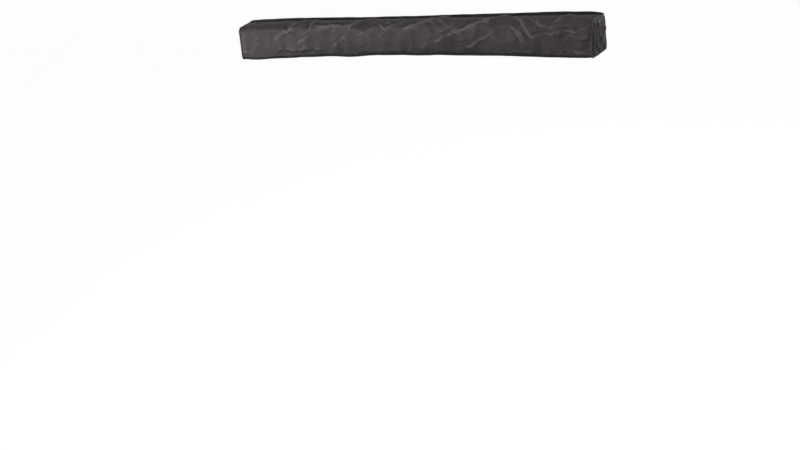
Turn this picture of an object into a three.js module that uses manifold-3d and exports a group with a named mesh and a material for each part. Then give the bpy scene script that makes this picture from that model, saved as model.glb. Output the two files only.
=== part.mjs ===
// A vehicle side awning, closed in its fabric travel cover.
// Millimetres. +X runs along the awning, -Y points away from the vehicle, +Z is up.
// The underside of the bracket feet and of the cover lies at z = 0.

import * as THREE from 'three';
import { mergeVertices } from 'three/addons/utils/BufferGeometryUtils.js';
import Module from 'manifold-3d';

// Driving dimensions: the rail that carries everything
const railLength = 1990;
const railHeight = 130;
const railDepth = 16;
const railWall = 2.5;
const capThickness = 6;

// Driving dimensions: the travel cover
const fabric = 2;
const coverCorner = 10;
const endSlack = 12;
const baseSlack = 3;
const coverSlack = 1.4;
const topSlack = 5.5;
const flangeReach = 10;
const flangeRise = 31;
const zipWidth = 5.4;

// Driving dimensions: telescopic arms and legs
const tubeRadius = 11;
const tubeWall = 1;
const slideGap = 0.4;
const collarRadius = 14;
const knuckleRadius = 11;
const knuckleHeight = 20;
const pinRadius = 4;
const pinHeadThickness = 2;
const earThickness = 3;
const pivotInset = 20;
const outerTubeShare = 0.535;

// Driving dimensions: lead bar and canopy
const barHeight = 20;
const rollRadius = 34;
const rollInset = 45;
const strapThickness = 1.5;

// Driving dimensions: brackets to the roof bars
const bracketSpread = 730;
const bracketShift = -85;
const bracketWidth = 50;
const bracketReach = 85;
const bracketThickness = 5;

// Clearances: fit is the standing gap between pieces that rest on each other
const fit = 0.3;
const levelGap = 2;
const sideGap = 0.7;
const aisle = 17;
const overrun = 1;

// Bead edging on the fabric, and the grooves that hold it
const beadRadius = 2.5;
const beadTail = 1.2;
const grooveRadius = beadRadius + 2 * fit;
const grooveDepth = grooveRadius + railWall;
const canopyDrop = 12;

// Steps of round pieces
const roundSides = 20;
const arcSteps = roundSides / 2;
const cornerSteps = 3;

// Heights, stacked up from the floor of the cover
const clevisHalf = knuckleHeight / 2 + fit + earThickness;
const strutHalf = Math.max(collarRadius, clevisHalf + fit + pinHeadThickness);
const strutPitch = 2 * collarRadius + levelGap;
const legLevel = fabric + fit + collarRadius;
const lowLevel = fabric + baseSlack + strutHalf;
const highLevel = lowLevel + strutPitch;
const barBottom = highLevel + strutHalf + levelGap;
const barTop = barBottom + barHeight;
const rollHeight = barTop + 2 * fit + rollRadius;
const railBottom = fabric + baseSlack;
const railTop = railBottom + railHeight;
const coverHeight = Math.max(
  rollHeight + rollRadius + 2 * fit + strapThickness + topSlack + fabric,
  railTop + flangeRise,
);
const slotHeight = railBottom + railHeight / 2;
const canopyHeight = railTop - canopyDrop;

// Distances outboard of the rail's back face, which lies at y = 0 here
const armLine = -(railDepth + fit + earThickness + Math.max(collarRadius, knuckleRadius) + sideGap);
const innerLegLine = armLine - collarRadius - aisle - strutHalf;
const outerLegLine = innerLegLine - strutPitch;
const coverDepth = -outerLegLine + strutHalf + coverSlack + fabric;
const barFront = -(coverDepth - fabric - coverSlack - strapThickness - 2 * fit);
const barBack = innerLegLine;
const rollLine = barFront + rollRadius;
const webLine = -railDepth / 2;
const coverBack = webLine + fabric / 2;
const flangeFront = coverBack - flangeReach;
const zipLine = flangeFront - fit - zipWidth / 2;
const wrapEdge = zipLine - zipWidth / 2 - fit;

// Distances along the awning
const pivotReach = railLength / 2 - pivotInset;
const coverEnd = railLength / 2 + fit + capThickness + endSlack + fabric;
const wrapLength = 2 * (coverEnd - fabric - fit);
const canopyWidth = railLength - 2 * rollInset;

const wasm = await Module();
wasm.setup();

function toSolid(geometry) {
  const bare = geometry.clone();
  bare.deleteAttribute('normal');
  bare.deleteAttribute('uv');
  const merged = mergeVertices(bare);
  const vertProperties = new Float32Array(merged.attributes.position.array);
  const triVerts = new Uint32Array(merged.index.array);
  return new wasm.Manifold(new wasm.Mesh({ numProp: 3, vertProperties, triVerts }));
}

function toGeometry(solid) {
  const mesh = solid.getMesh();
  const geometry = new THREE.BufferGeometry();
  geometry.setAttribute('position', new THREE.BufferAttribute(mesh.vertProperties, mesh.numProp));
  geometry.setIndex(new THREE.BufferAttribute(mesh.triVerts, 1));
  geometry.computeVertexNormals();
  return geometry;
}

function join(first, ...others) {
  return toGeometry(others.reduce((solid, other) => solid.add(toSolid(other)), toSolid(first)));
}

function cut(body, ...tools) {
  return toGeometry(tools.reduce((solid, tool) => solid.subtract(toSolid(tool)), toSolid(body)));
}

function block(lowX, highX, lowY, highY, lowZ, highZ) {
  const box = new THREE.BoxGeometry(highX - lowX, highY - lowY, highZ - lowZ);
  return box.translate((lowX + highX) / 2, (lowY + highY) / 2, (lowZ + highZ) / 2);
}

// A shape drawn in the Y-Z plane, run along X and centred on x = 0
function alongX(shape, length, steps = arcSteps) {
  const options = { depth: length, bevelEnabled: false, curveSegments: steps };
  const turn = new THREE.Matrix4().makeBasis(
    new THREE.Vector3(0, 1, 0),
    new THREE.Vector3(0, 0, 1),
    new THREE.Vector3(1, 0, 0),
  );
  const geometry = new THREE.ExtrudeGeometry(shape, options).applyMatrix4(turn);
  return geometry.translate(-length / 2, 0, 0);
}

// A shape drawn in the X-Y plane, run up Z and centred on z = 0
function alongZ(shape, height) {
  const options = { depth: height, bevelEnabled: false, curveSegments: arcSteps };
  return new THREE.ExtrudeGeometry(shape, options).translate(0, 0, -height / 2);
}

function rodX(radius, length) {
  return new THREE.CylinderGeometry(radius, radius, length, roundSides).rotateZ(-Math.PI / 2);
}

function rodY(radius, length) {
  return new THREE.CylinderGeometry(radius, radius, length, roundSides);
}

function rodZ(radius, length) {
  return new THREE.CylinderGeometry(radius, radius, length, roundSides).rotateX(Math.PI / 2);
}

// A profile of [distance along X, radius] pairs, turned about the X axis
function turned(profile) {
  const points = profile.map(([along, radius]) => new THREE.Vector2(radius, along));
  return new THREE.LatheGeometry(points, roundSides).rotateZ(-Math.PI / 2);
}

function tubeX(outerRadius, innerRadius, length) {
  const ring = new THREE.Shape().absarc(0, 0, outerRadius, 0, 2 * Math.PI, false);
  ring.holes.push(new THREE.Path().absarc(0, 0, innerRadius, 0, 2 * Math.PI, true));
  return alongX(ring, length);
}

// A round bead with a narrow neck that rises to the given reach above its centre
function keyhole(radius, neck, reach) {
  const half = neck / 2;
  const lean = Math.asin(half / radius);
  const shape = new THREE.Shape();
  shape.moveTo(half, reach);
  shape.lineTo(-half, reach);
  shape.absarc(0, 0, radius, Math.PI / 2 + lean, 2.5 * Math.PI - lean, false);
  shape.closePath();
  return shape;
}

// Quarter turns that point a keyhole's neck outboard or down
const outboard = Math.PI / 2;
const down = Math.PI;

function grooveTool(length, line, height, turn) {
  const shape = keyhole(grooveRadius, beadTail + 2 * fit, grooveDepth + overrun);
  return alongX(shape, length).rotateX(turn).translate(0, line, height);
}

function beadStrip(length, line, height, turn, reach) {
  return alongX(keyhole(beadRadius, beadTail, reach), length).rotateX(turn).translate(0, line, height);
}

const awning = new THREE.Group();

function place(parent, name, geometry, finish) {
  const mesh = new THREE.Mesh(geometry, new THREE.MeshStandardMaterial(finish));
  mesh.name = name;
  parent.add(mesh);
  return mesh;
}

// Finishes, from the photograph for the cover and from common practice inside it
const coverCloth = { color: 0x4a4648, roughness: 0.62, metalness: 0 };
const canopyCloth = { color: 0x8b8d88, roughness: 0.9, metalness: 0 };
const anodised = { color: 0xb9bbbd, roughness: 0.35, metalness: 1 };
const powderCoat = { color: 0x1f2022, roughness: 0.55, metalness: 0 };
const zincPlate = { color: 0xc2c4c6, roughness: 0.3, metalness: 1 };
const blackPlastic = { color: 0x202123, roughness: 0.5, metalness: 0 };
const webbing = { color: 0x2a2a2c, roughness: 0.85, metalness: 0 };
const rubber = { color: 0x18181a, roughness: 0.8, metalness: 0 };

// Back rail: an extrusion with a bolt slot behind and bead grooves in front, above and below
const slotMouth = 9;
const slotLip = 3;
const slotUndercut = 18;
const slotDepth = 9;

function backRail() {
  const length = railLength + 2 * overrun;
  const slotTop = slotHeight + slotUndercut / 2;
  const slotLow = slotHeight - slotUndercut / 2;
  const mouth = block(
    -length / 2, length / 2,
    -slotLip - overrun, overrun,
    slotHeight - slotMouth / 2, slotHeight + slotMouth / 2,
  );
  const undercut = block(-length / 2, length / 2, -slotDepth, -slotLip, slotLow, slotTop);
  const upperChamber = block(
    -length / 2, length / 2,
    -railDepth + railWall, -railWall,
    slotTop + railWall, canopyHeight - grooveRadius - railWall,
  );
  const lowerChamber = block(
    -length / 2, length / 2,
    -railDepth + railWall, -railWall,
    railBottom + grooveDepth + grooveRadius + railWall, slotLow - railWall,
  );
  return cut(
    block(-railLength / 2, railLength / 2, -railDepth, 0, railBottom, railTop),
    mouth,
    undercut,
    upperChamber,
    lowerChamber,
    grooveTool(length, -railDepth + grooveDepth, canopyHeight, outboard),
    grooveTool(length, webLine, railTop - grooveDepth, 0),
    grooveTool(length, webLine, railBottom + grooveDepth, down),
  );
}

place(awning, 'back_rail', backRail(), anodised);

// Moulded caps close the ends of the rail and of the lead bar
const capCorner = 4;

function endCap(side, end, lowY, highY, lowZ, highZ) {
  const shape = new THREE.Shape();
  shape.absarc(highY - capCorner, lowZ + capCorner, capCorner, -Math.PI / 2, 0, false);
  shape.absarc(highY - capCorner, highZ - capCorner, capCorner, 0, Math.PI / 2, false);
  shape.absarc(lowY + capCorner, highZ - capCorner, capCorner, Math.PI / 2, Math.PI, false);
  shape.absarc(lowY + capCorner, lowZ + capCorner, capCorner, Math.PI, 1.5 * Math.PI, false);
  return alongX(shape, capThickness, cornerSteps).translate(side * (end + fit + capThickness / 2), 0, 0);
}

const sides = [['left', -1], ['right', 1]];
for (const [name, side] of sides) {
  const cap = endCap(side, railLength / 2, -railDepth, 0, railBottom, railTop);
  place(awning, `rail_end_cap_${name}`, cap, blackPlastic);
}

// Canopy edge: a bead in the rail's front groove, and the cloth from it to the roll
const beadLine = -railDepth + grooveDepth;
place(
  awning,
  'canopy_bead',
  beadStrip(canopyWidth, beadLine, canopyHeight, outboard, grooveDepth),
  canopyCloth,
);

const canopyThickness = 1.2;

function canopyPanel() {
  const strapBack = rollLine + rollRadius + 2 * fit + strapThickness;
  return block(
    -canopyWidth / 2, canopyWidth / 2,
    strapBack + fit, -railDepth - fit,
    canopyHeight - canopyThickness / 2, canopyHeight + canopyThickness / 2,
  );
}

place(awning, 'canopy_panel', canopyPanel(), canopyCloth);

// Rear flange: the strip of cover cloth that stays on the rail and carries the fixed half of the zip
function rearFlange() {
  const bead = beadStrip(railLength, webLine, railTop - grooveDepth, 0, grooveDepth + 2 * fit);
  const web = block(
    -wrapLength / 2, wrapLength / 2,
    webLine - fabric / 2, coverBack,
    railTop + fit, coverHeight,
  );
  const lip = block(
    -wrapLength / 2, wrapLength / 2,
    flangeFront, coverBack,
    coverHeight - fabric, coverHeight,
  );
  return join(bead, web, lip);
}

place(awning, 'rear_flange', rearFlange(), coverCloth);

// Zip: the chain along the top of the cover, its slider and the pull
const zipProud = 0.5;
const zipChainHeight = 3;
const sliderLength = 22;
const sliderWidth = 10;
const sliderHeight = 4;
const sliderInset = 16;
const pullLength = 34;
const pullWidth = 8;
const pullThickness = 1.2;
const zipTop = coverHeight + zipProud;
const sliderPlace = railLength / 2 - sliderInset - sliderLength / 2;

function zipChain() {
  return block(
    -wrapLength / 2, wrapLength / 2,
    zipLine - zipWidth / 2, zipLine + zipWidth / 2,
    zipTop - zipChainHeight, zipTop,
  );
}

function zipSlider() {
  const half = sliderWidth / 2;
  const shape = new THREE.Shape();
  shape.moveTo(-sliderLength / 2, -half / 2);
  shape.lineTo(0, -half);
  shape.absarc(sliderLength / 2 - half, 0, half, -Math.PI / 2, Math.PI / 2, false);
  shape.lineTo(0, half);
  shape.lineTo(-sliderLength / 2, half / 2);
  shape.closePath();
  return alongZ(shape, sliderHeight).translate(sliderPlace, zipLine, zipTop + fit + sliderHeight / 2);
}

function zipPull() {
  const half = pullWidth / 2;
  const reach = pullLength / 2 - half;
  const shape = new THREE.Shape();
  shape.absarc(reach, 0, half, -Math.PI / 2, Math.PI / 2, false);
  shape.absarc(-reach, 0, half, Math.PI / 2, 1.5 * Math.PI, false);
  const height = zipTop + 2 * fit + sliderHeight + pullThickness / 2;
  return alongZ(shape, pullThickness).translate(sliderPlace - pullLength / 2 + half, zipLine, height);
}

place(awning, 'zip_chain', zipChain(), blackPlastic);
place(awning, 'zip_slider', zipSlider(), blackPlastic);
place(awning, 'zip_pull', zipPull(), blackPlastic);

// Mount brackets: welded steel angles bolted to the rail's slot, feet down on the roof bars
const gussetThickness = 4;
const bracketRise = 28;
const boltPitch = 30;
const boltRadius = 4;
const boltHeadWidth = 16;
const boltHeadThickness = 4.5;
const nutRadius = 7.5;
const nutThickness = 6.5;
const boltTail = 3;
const footSlotWidth = 10;
const footSlotLength = 46;
const footSlotMargin = 12;
const wallBack = fit + bracketThickness;

function footSlot() {
  const half = footSlotWidth / 2;
  const reach = footSlotLength / 2 - half;
  const shape = new THREE.Shape();
  shape.absarc(0, reach, half, 0, Math.PI, false);
  shape.absarc(0, -reach, half, Math.PI, 2 * Math.PI, false);
  const middle = bracketReach - footSlotMargin - footSlotLength / 2;
  return alongZ(shape, bracketThickness + 2 * overrun).translate(0, middle, bracketThickness / 2);
}

function gusset(ribPlace) {
  const shape = new THREE.Shape();
  shape.moveTo(wallBack - overrun, bracketThickness - overrun);
  shape.lineTo(bracketReach - footSlotMargin, bracketThickness - overrun);
  shape.lineTo(bracketReach - footSlotMargin, bracketThickness);
  shape.lineTo(wallBack, slotHeight - nutRadius);
  shape.lineTo(wallBack - overrun, slotHeight - nutRadius);
  shape.closePath();
  return alongX(shape, gussetThickness).translate(ribPlace, 0, 0);
}

function mountBracket() {
  const half = bracketWidth / 2;
  const wall = block(-half, half, fit, wallBack, 0, slotHeight + bracketRise);
  const foot = block(-half, half, fit, bracketReach, 0, bracketThickness);
  const ribPlace = half - gussetThickness / 2;
  const angle = join(wall, foot, gusset(-ribPlace), gusset(ribPlace));
  const holes = [-1, 1].map((side) => {
    return rodY(boltRadius + fit, bracketThickness + 2 * overrun)
      .translate(side * boltPitch / 2, fit + bracketThickness / 2, slotHeight);
  });
  return cut(angle, footSlot(), ...holes);
}

function bracketBolt() {
  const headBack = -slotLip - fit;
  const headHalf = boltHeadWidth / 2;
  const neckHalf = boltHeadWidth / 4;
  const tip = wallBack + fit + nutThickness + boltTail;
  const head = block(
    -headHalf, headHalf,
    headBack - boltHeadThickness, headBack,
    -headHalf, headHalf,
  );
  const shank = rodY(boltRadius, tip - headBack + overrun).translate(0, (tip + headBack - overrun) / 2, 0);
  const neck = block(-neckHalf, neckHalf, headBack - overrun, headBack + slotLip, -neckHalf, neckHalf);
  return join(head, neck, shank);
}

function bracketNut() {
  const nut = new THREE.CylinderGeometry(nutRadius, nutRadius, nutThickness, 6);
  return cut(nut, rodY(boltRadius + fit, nutThickness + 2 * overrun))
    .translate(0, wallBack + fit + nutThickness / 2, 0);
}

for (const [name, side] of sides) {
  const station = new THREE.Group();
  station.position.x = bracketShift + side * bracketSpread / 2;
  awning.add(station);
  place(station, `mount_bracket_${name}`, mountBracket(), powderCoat);
  for (const [number, step] of [[1, -1], [2, 1]]) {
    const bolt = place(station, `bracket_bolt_${name}_${number}`, bracketBolt(), zincPlate);
    const nut = place(station, `bracket_nut_${name}_${number}`, bracketNut(), zincPlate);
    bolt.position.set(step * boltPitch / 2, 0, slotHeight);
    nut.position.copy(bolt.position);
  }
}

// Telescopic struts: drawn with the pivot pin on the Z axis, the strut along +X and the
// clevis plate on the +Y side, then turned into place as arms and as legs
const earRadius = 11.5;
const pinHeadRadius = 6;
const shoulderLength = 3;
const spigotLength = 30;
const spigotGap = 5;
const collarSeat = 25;
const collarNose = 18;
const collarChamfer = 2;
const shoulderStart = earRadius + 2 * fit;
const knuckleReach = shoulderStart + shoulderLength;
const tubeBore = tubeRadius - tubeWall;
const innerRadius = tubeBore - slideGap;
const innerBore = innerRadius - tubeWall;
const outerTubeLength = outerTubeShare * 2 * pivotReach;
const outerEnd = knuckleReach + fit + outerTubeLength;
const innerStart = knuckleReach + spigotLength + spigotGap;
const innerEnd = outerEnd + collarNose + levelGap;

function clevis(plateDistance) {
  const plate = block(
    -earRadius, earRadius,
    plateDistance - earThickness, plateDistance,
    -clevisHalf, clevisHalf,
  );
  const ears = [-1, 1].map((side) => {
    const shape = new THREE.Shape();
    shape.moveTo(earRadius, plateDistance - earThickness / 2);
    shape.lineTo(-earRadius, plateDistance - earThickness / 2);
    shape.absarc(0, 0, earRadius, Math.PI, 2 * Math.PI, false);
    shape.closePath();
    return alongZ(shape, earThickness).translate(0, 0, side * (clevisHalf - earThickness / 2));
  });
  return cut(join(plate, ...ears), rodZ(pinRadius + fit, 2 * clevisHalf + 2 * overrun));
}

function pivotPin() {
  const grip = clevisHalf + fit;
  const end = grip + pinHeadThickness;
  const profile = [
    [-end, 0],
    [-end, pinHeadRadius],
    [-grip, pinHeadRadius],
    [-grip, pinRadius],
    [grip, pinRadius],
    [grip, pinHeadRadius],
    [end, pinHeadRadius],
    [end, 0],
  ];
  return turned(profile).rotateY(-Math.PI / 2);
}

function knuckle() {
  const spigotEnd = knuckleReach + spigotLength;
  const neck = turned([
    [0, 0],
    [0, tubeBore - fit],
    [shoulderStart, tubeBore - fit],
    [shoulderStart, tubeRadius],
    [knuckleReach, tubeRadius],
    [knuckleReach, tubeBore - fit],
    [spigotEnd, tubeBore - fit],
    [spigotEnd, 0],
  ]);
  const hub = rodZ(knuckleRadius, knuckleHeight);
  return cut(join(hub, neck), rodZ(pinRadius + fit, knuckleHeight + 2 * overrun));
}

function outerTube() {
  return tubeX(tubeRadius, tubeBore, outerTubeLength)
    .translate(knuckleReach + fit + outerTubeLength / 2, 0, 0);
}

function twistCollar() {
  const mouth = outerEnd + fit;
  const start = outerEnd - collarSeat;
  const end = outerEnd + collarNose;
  return turned([
    [start, tubeRadius + fit],
    [start, collarRadius - collarChamfer],
    [start + collarChamfer, collarRadius],
    [end - collarChamfer, collarRadius],
    [end, collarRadius - collarChamfer],
    [end, innerRadius + fit],
    [mouth, innerRadius + fit],
    [mouth, tubeRadius + fit],
    [start, tubeRadius + fit],
  ]);
}

function innerTube() {
  return tubeX(innerRadius, innerBore, innerEnd - innerStart)
    .translate((innerStart + innerEnd) / 2, 0, 0);
}

// What both end fittings share: a plug in the inner tube with a shoulder against its end
const plugLength = 25;
const plugShoulder = 6;

function plugProfile() {
  const face = innerEnd + fit;
  return [
    [face - plugLength, 0],
    [face - plugLength, innerBore - fit],
    [face, innerBore - fit],
    [face, innerRadius],
    [face + plugShoulder, innerRadius],
  ];
}

const noseLength = 16;
const noseRadius = 6.5;

function armTip() {
  const start = innerEnd + fit + plugShoulder;
  return turned([
    ...plugProfile(),
    [start, noseRadius],
    [start + noseLength - noseRadius / 2, noseRadius],
    [start + noseLength, noseRadius / 2],
    [start + noseLength, 0],
  ]);
}

const padLength = 14;
const padChamfer = 2;

function legFoot() {
  const start = innerEnd + fit + plugShoulder;
  const padRadius = collarRadius - fit;
  return turned([
    ...plugProfile(),
    [start, padRadius - padChamfer],
    [start + padChamfer, padRadius],
    [start + padLength - padChamfer, padRadius],
    [start + padLength, padRadius - padChamfer],
    [start + padLength, 0],
  ]);
}

function strut(name, plateDistance, endName, endGeometry, endFinish) {
  const group = new THREE.Group();
  place(group, `${name}_clevis`, clevis(plateDistance), powderCoat);
  place(group, `${name}_pin`, pivotPin(), zincPlate);
  place(group, `${name}_knuckle`, knuckle(), blackPlastic);
  place(group, `${name}_outer_tube`, outerTube(), anodised);
  place(group, `${name}_twist_collar`, twistCollar(), blackPlastic);
  place(group, `${name}_inner_tube`, innerTube(), anodised);
  place(group, `${name}_${endName}`, endGeometry, endFinish);
  return group;
}

// The right-hand struts are the left-hand ones turned half a turn about the plate's direction
for (const [name, side] of sides) {
  const arm = strut(`${name}_arm`, -railDepth - fit - armLine, 'tip', armTip(), blackPlastic);
  arm.position.set(side * pivotReach, armLine, side < 0 ? lowLevel : highLevel);
  arm.rotation.y = side < 0 ? 0 : Math.PI;
  awning.add(arm);

  const leg = strut(`${name}_leg`, barBottom - fit - legLevel, 'foot', legFoot(), rubber);
  leg.rotation.y = side < 0 ? 0 : Math.PI;
  const hanger = new THREE.Group();
  hanger.rotation.x = Math.PI / 2;
  hanger.position.set(side * pivotReach, side < 0 ? outerLegLine : innerLegLine, legLevel);
  hanger.add(leg);
  awning.add(hanger);
}

// Lead bar: the front extrusion of the canopy, with a bead groove along its top
const barWall = 1.8;
const hemInset = 8;
const hemLine = barFront + hemInset;

function leadBar() {
  const length = railLength + 2 * overrun;
  const chamber = block(
    -length / 2, length / 2,
    hemLine + grooveRadius + barWall, barBack - barWall,
    barBottom + barWall, barTop - barWall,
  );
  const bar = block(-railLength / 2, railLength / 2, barFront, barBack, barBottom, barTop);
  return cut(bar, chamber, grooveTool(length, hemLine, barTop - grooveDepth, 0));
}

place(awning, 'lead_bar', leadBar(), anodised);
place(
  awning,
  'canopy_hem_bead',
  beadStrip(canopyWidth, hemLine, barTop - grooveDepth, 0, grooveDepth),
  canopyCloth,
);
for (const [name, side] of sides) {
  const cap = endCap(side, railLength / 2, barFront, barBack, barBottom, barTop);
  place(awning, `lead_bar_cap_${name}`, cap, blackPlastic);
}

// Canopy roll: the cloth wound up on top of the lead bar
const roll = place(awning, 'canopy_roll', rodX(rollRadius, canopyWidth), canopyCloth);
roll.position.set(0, rollLine, rollHeight);

// Straps: three bands of webbing that hold the roll down on the lead bar
const strapWidth = 25;
const strapPlaceShares = [-0.33, 0, 0.33];

function strapOutline(shape, offset) {
  const radius = rollRadius + offset;
  const front = new THREE.Vector2(barFront - offset, barBottom - offset);
  const back = new THREE.Vector2(barBack + offset, barBottom - offset);
  const centre = new THREE.Vector2(rollLine, rollHeight);
  const toFront = front.clone().sub(centre);
  const toBack = back.clone().sub(centre);
  const leave = toBack.angle() + Math.acos(Math.min(radius / toBack.length(), 1));
  const meet = toFront.angle() - Math.acos(Math.min(radius / toFront.length(), 1));
  shape.moveTo(front.x, front.y);
  shape.lineTo(back.x, back.y);
  shape.absarc(centre.x, centre.y, radius, leave - 2 * Math.PI, meet, false);
  shape.closePath();
  return shape;
}

function strap() {
  const band = strapOutline(new THREE.Shape(), 2 * fit + strapThickness);
  band.holes.push(strapOutline(new THREE.Path(), 2 * fit));
  return alongX(band, strapWidth);
}

strapPlaceShares.forEach((share, index) => {
  const band = place(awning, `roll_strap_${index + 1}`, strap(), webbing);
  band.position.x = share * canopyWidth;
});

// Travel cover: one wrap over the top, front and bottom, and a panel sewn across each end
function coverWrap() {
  const corner = -coverDepth + coverCorner;
  const inner = coverCorner - fabric;
  const high = coverHeight - coverCorner;
  const shape = new THREE.Shape();
  shape.moveTo(wrapEdge, coverHeight - fabric);
  shape.lineTo(wrapEdge, coverHeight);
  shape.absarc(corner, high, coverCorner, Math.PI / 2, Math.PI, false);
  shape.absarc(corner, coverCorner, coverCorner, Math.PI, 1.5 * Math.PI, false);
  shape.lineTo(coverBack, 0);
  shape.lineTo(coverBack, fabric);
  shape.absarc(corner, coverCorner, inner, 1.5 * Math.PI, Math.PI, true);
  shape.absarc(corner, high, inner, Math.PI, Math.PI / 2, true);
  shape.closePath();
  const edgeHeight = railBottom + grooveDepth;
  const edge = beadStrip(railLength, webLine, edgeHeight, down, edgeHeight - fabric / 2);
  return join(alongX(shape, wrapLength, cornerSteps), edge);
}

function coverEndPanel(side) {
  const corner = -coverDepth + coverCorner;
  const shape = new THREE.Shape();
  shape.moveTo(coverBack, 0);
  shape.lineTo(coverBack, coverHeight);
  shape.absarc(corner, coverHeight - coverCorner, coverCorner, Math.PI / 2, Math.PI, false);
  shape.absarc(corner, coverCorner, coverCorner, Math.PI, 1.5 * Math.PI, false);
  shape.closePath();
  return alongX(shape, fabric, cornerSteps).translate(side * (coverEnd - fabric / 2), 0, 0);
}

place(awning, 'cover_wrap', coverWrap(), coverCloth);
for (const [name, side] of sides) {
  place(awning, `cover_end_${name}`, coverEndPanel(side), coverCloth);
}

// The origin is under the middle of the whole, on the surface that the feet and cover rest on
awning.position.y = (coverDepth - bracketReach) / 2;

export default awning;
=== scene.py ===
# A side awning for roof bars, closed in its travel cover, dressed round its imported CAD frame.
# Metres. +X runs along the awning to its right end, -Y points outboard, the way it opens, +Z is up.
import math
import random

import bpy
import numpy as np
from mathutils import Matrix, Vector


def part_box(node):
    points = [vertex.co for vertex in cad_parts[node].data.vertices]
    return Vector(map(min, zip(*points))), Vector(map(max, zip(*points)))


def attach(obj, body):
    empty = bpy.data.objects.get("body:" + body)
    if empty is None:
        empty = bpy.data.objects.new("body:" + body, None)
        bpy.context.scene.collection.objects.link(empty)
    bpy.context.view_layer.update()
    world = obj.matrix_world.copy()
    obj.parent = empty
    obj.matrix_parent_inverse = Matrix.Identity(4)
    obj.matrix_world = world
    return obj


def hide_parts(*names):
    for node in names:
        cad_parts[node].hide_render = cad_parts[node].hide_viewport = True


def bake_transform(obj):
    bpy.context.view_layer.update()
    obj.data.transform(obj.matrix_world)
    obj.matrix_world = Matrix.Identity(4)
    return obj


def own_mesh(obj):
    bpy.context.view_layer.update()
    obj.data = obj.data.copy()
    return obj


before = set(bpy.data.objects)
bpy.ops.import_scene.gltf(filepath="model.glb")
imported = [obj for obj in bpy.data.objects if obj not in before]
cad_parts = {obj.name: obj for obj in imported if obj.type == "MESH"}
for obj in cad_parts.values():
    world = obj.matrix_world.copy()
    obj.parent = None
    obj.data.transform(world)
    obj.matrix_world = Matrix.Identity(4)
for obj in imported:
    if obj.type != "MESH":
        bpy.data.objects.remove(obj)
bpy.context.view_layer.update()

scene = bpy.context.scene
scene.view_settings.view_transform = "Standard"


# The camera stands in front of the awning's right half and above it. It is rolled about its line of
# sight, so that the awning lies straight across the top of the frame.
def placed(name, data):
    """Adds an object to the scene"""
    made = bpy.data.objects.new(name, data)
    scene.collection.objects.link(made)
    return made


def aimed_camera(place, azimuth, elevation, tilt, lens):
    data = bpy.data.cameras.new("photo_camera")
    data.lens = lens
    data.sensor_width = 36
    data.clip_end = 200
    camera = placed("photo_camera", data)
    turn, rise, lean = (math.radians(angle) for angle in (azimuth, elevation, tilt))
    back = Vector((
        math.sin(turn) * math.cos(rise),
        -math.cos(turn) * math.cos(rise),
        math.sin(rise),
    ))
    level = (-back).cross(Vector((0, 0, 1))).normalized()
    upright = level.cross(-back)
    right = level * math.cos(lean) + upright * math.sin(lean)
    top = upright * math.cos(lean) - level * math.sin(lean)
    columns = Matrix((right, top, back)).transposed().to_4x4()
    camera.matrix_world = Matrix.Translation(place) @ columns
    return camera


scene.camera = aimed_camera(
    place=(3.425, -5.5727, 1.5425), azimuth=33.5, elevation=20.6, tilt=-9.0, lens=59.5,
)


# The studio is a pale matt floor at the level where the legs' feet stand when the canopy is out,
# with white all round. Soft disc lamps stand on the left, above, on the right and behind. The left
# one has a narrower beam, so that its light falls off towards the awning's ends.
def linear(colour):
    channels = [int(colour[i:i + 2], 16) / 255 for i in (1, 3, 5)]
    return [c / 12.92 if c <= 0.04045 else ((c + 0.055) / 1.055) ** 2.4 for c in channels] + [1]


def add_node(tree, kind, sockets=None, **settings):
    made = tree.nodes.new(kind)
    for name, value in settings.items():
        setattr(made, name, value)
    for socket, value in (sockets or {}).items():
        if isinstance(value, bpy.types.NodeSocket):
            tree.links.new(value, made.inputs[socket])
        else:
            made.inputs[socket].default_value = value
    return made


def by_ray(tree, lighting, mirrored, seen):
    """A strength for rays that light things, one for reflections and one for what the camera sees"""
    path = add_node(tree, "ShaderNodeLightPath")
    soft = add_node(
        tree, "ShaderNodeMapRange",
        {"Value": path.outputs["Is Glossy Ray"], "To Min": lighting, "To Max": mirrored},
    )
    clear = add_node(
        tree, "ShaderNodeMath",
        {0: path.outputs["Is Camera Ray"], 1: path.outputs["Is Transmission Ray"]}, operation="MAXIMUM",
    )
    return add_node(
        tree, "ShaderNodeMix", {0: clear.outputs[0], 2: soft.outputs[0], 3: seen},
    ).outputs[0]


def start_material(name, values):
    material = bpy.data.materials.new(name)
    material.use_nodes = True
    tree = material.node_tree
    shader = tree.nodes["Principled BSDF"]
    for socket, value in values.items():
        shader.inputs[socket].default_value = value
    return material, tree, shader


def studio_world(lighting, mirrored):
    world = bpy.data.worlds.new("studio")
    scene.world = world
    world.use_nodes = True
    tree = world.node_tree
    background = tree.nodes["Background"]
    background.inputs["Color"].default_value = linear("#ffffff")
    tree.links.new(by_ray(tree, lighting, mirrored, seen=1.0), background.inputs["Strength"])


def studio_floor(level, reach):
    mesh = bpy.data.meshes.new("floor")
    corners = [(x * reach, y * reach, level) for x, y in ((-1, -1), (1, -1), (1, 1), (-1, 1))]
    mesh.from_pydata(corners, [], [(0, 1, 2, 3)])
    paint, tree, shader = start_material("pale_floor_paint", {
        "Base Color": linear("#9a9a98"), "Roughness": 0.95, "Emission Color": linear("#ffffff"),
    })
    # The glow is for the camera and reflections, so that the floor meets the white without an edge
    glow = by_ray(tree, lighting=0.0, mirrored=0.25, seen=0.935)
    tree.links.new(glow, shader.inputs["Emission Strength"])
    mesh.materials.append(paint)
    placed("floor", mesh)


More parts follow.
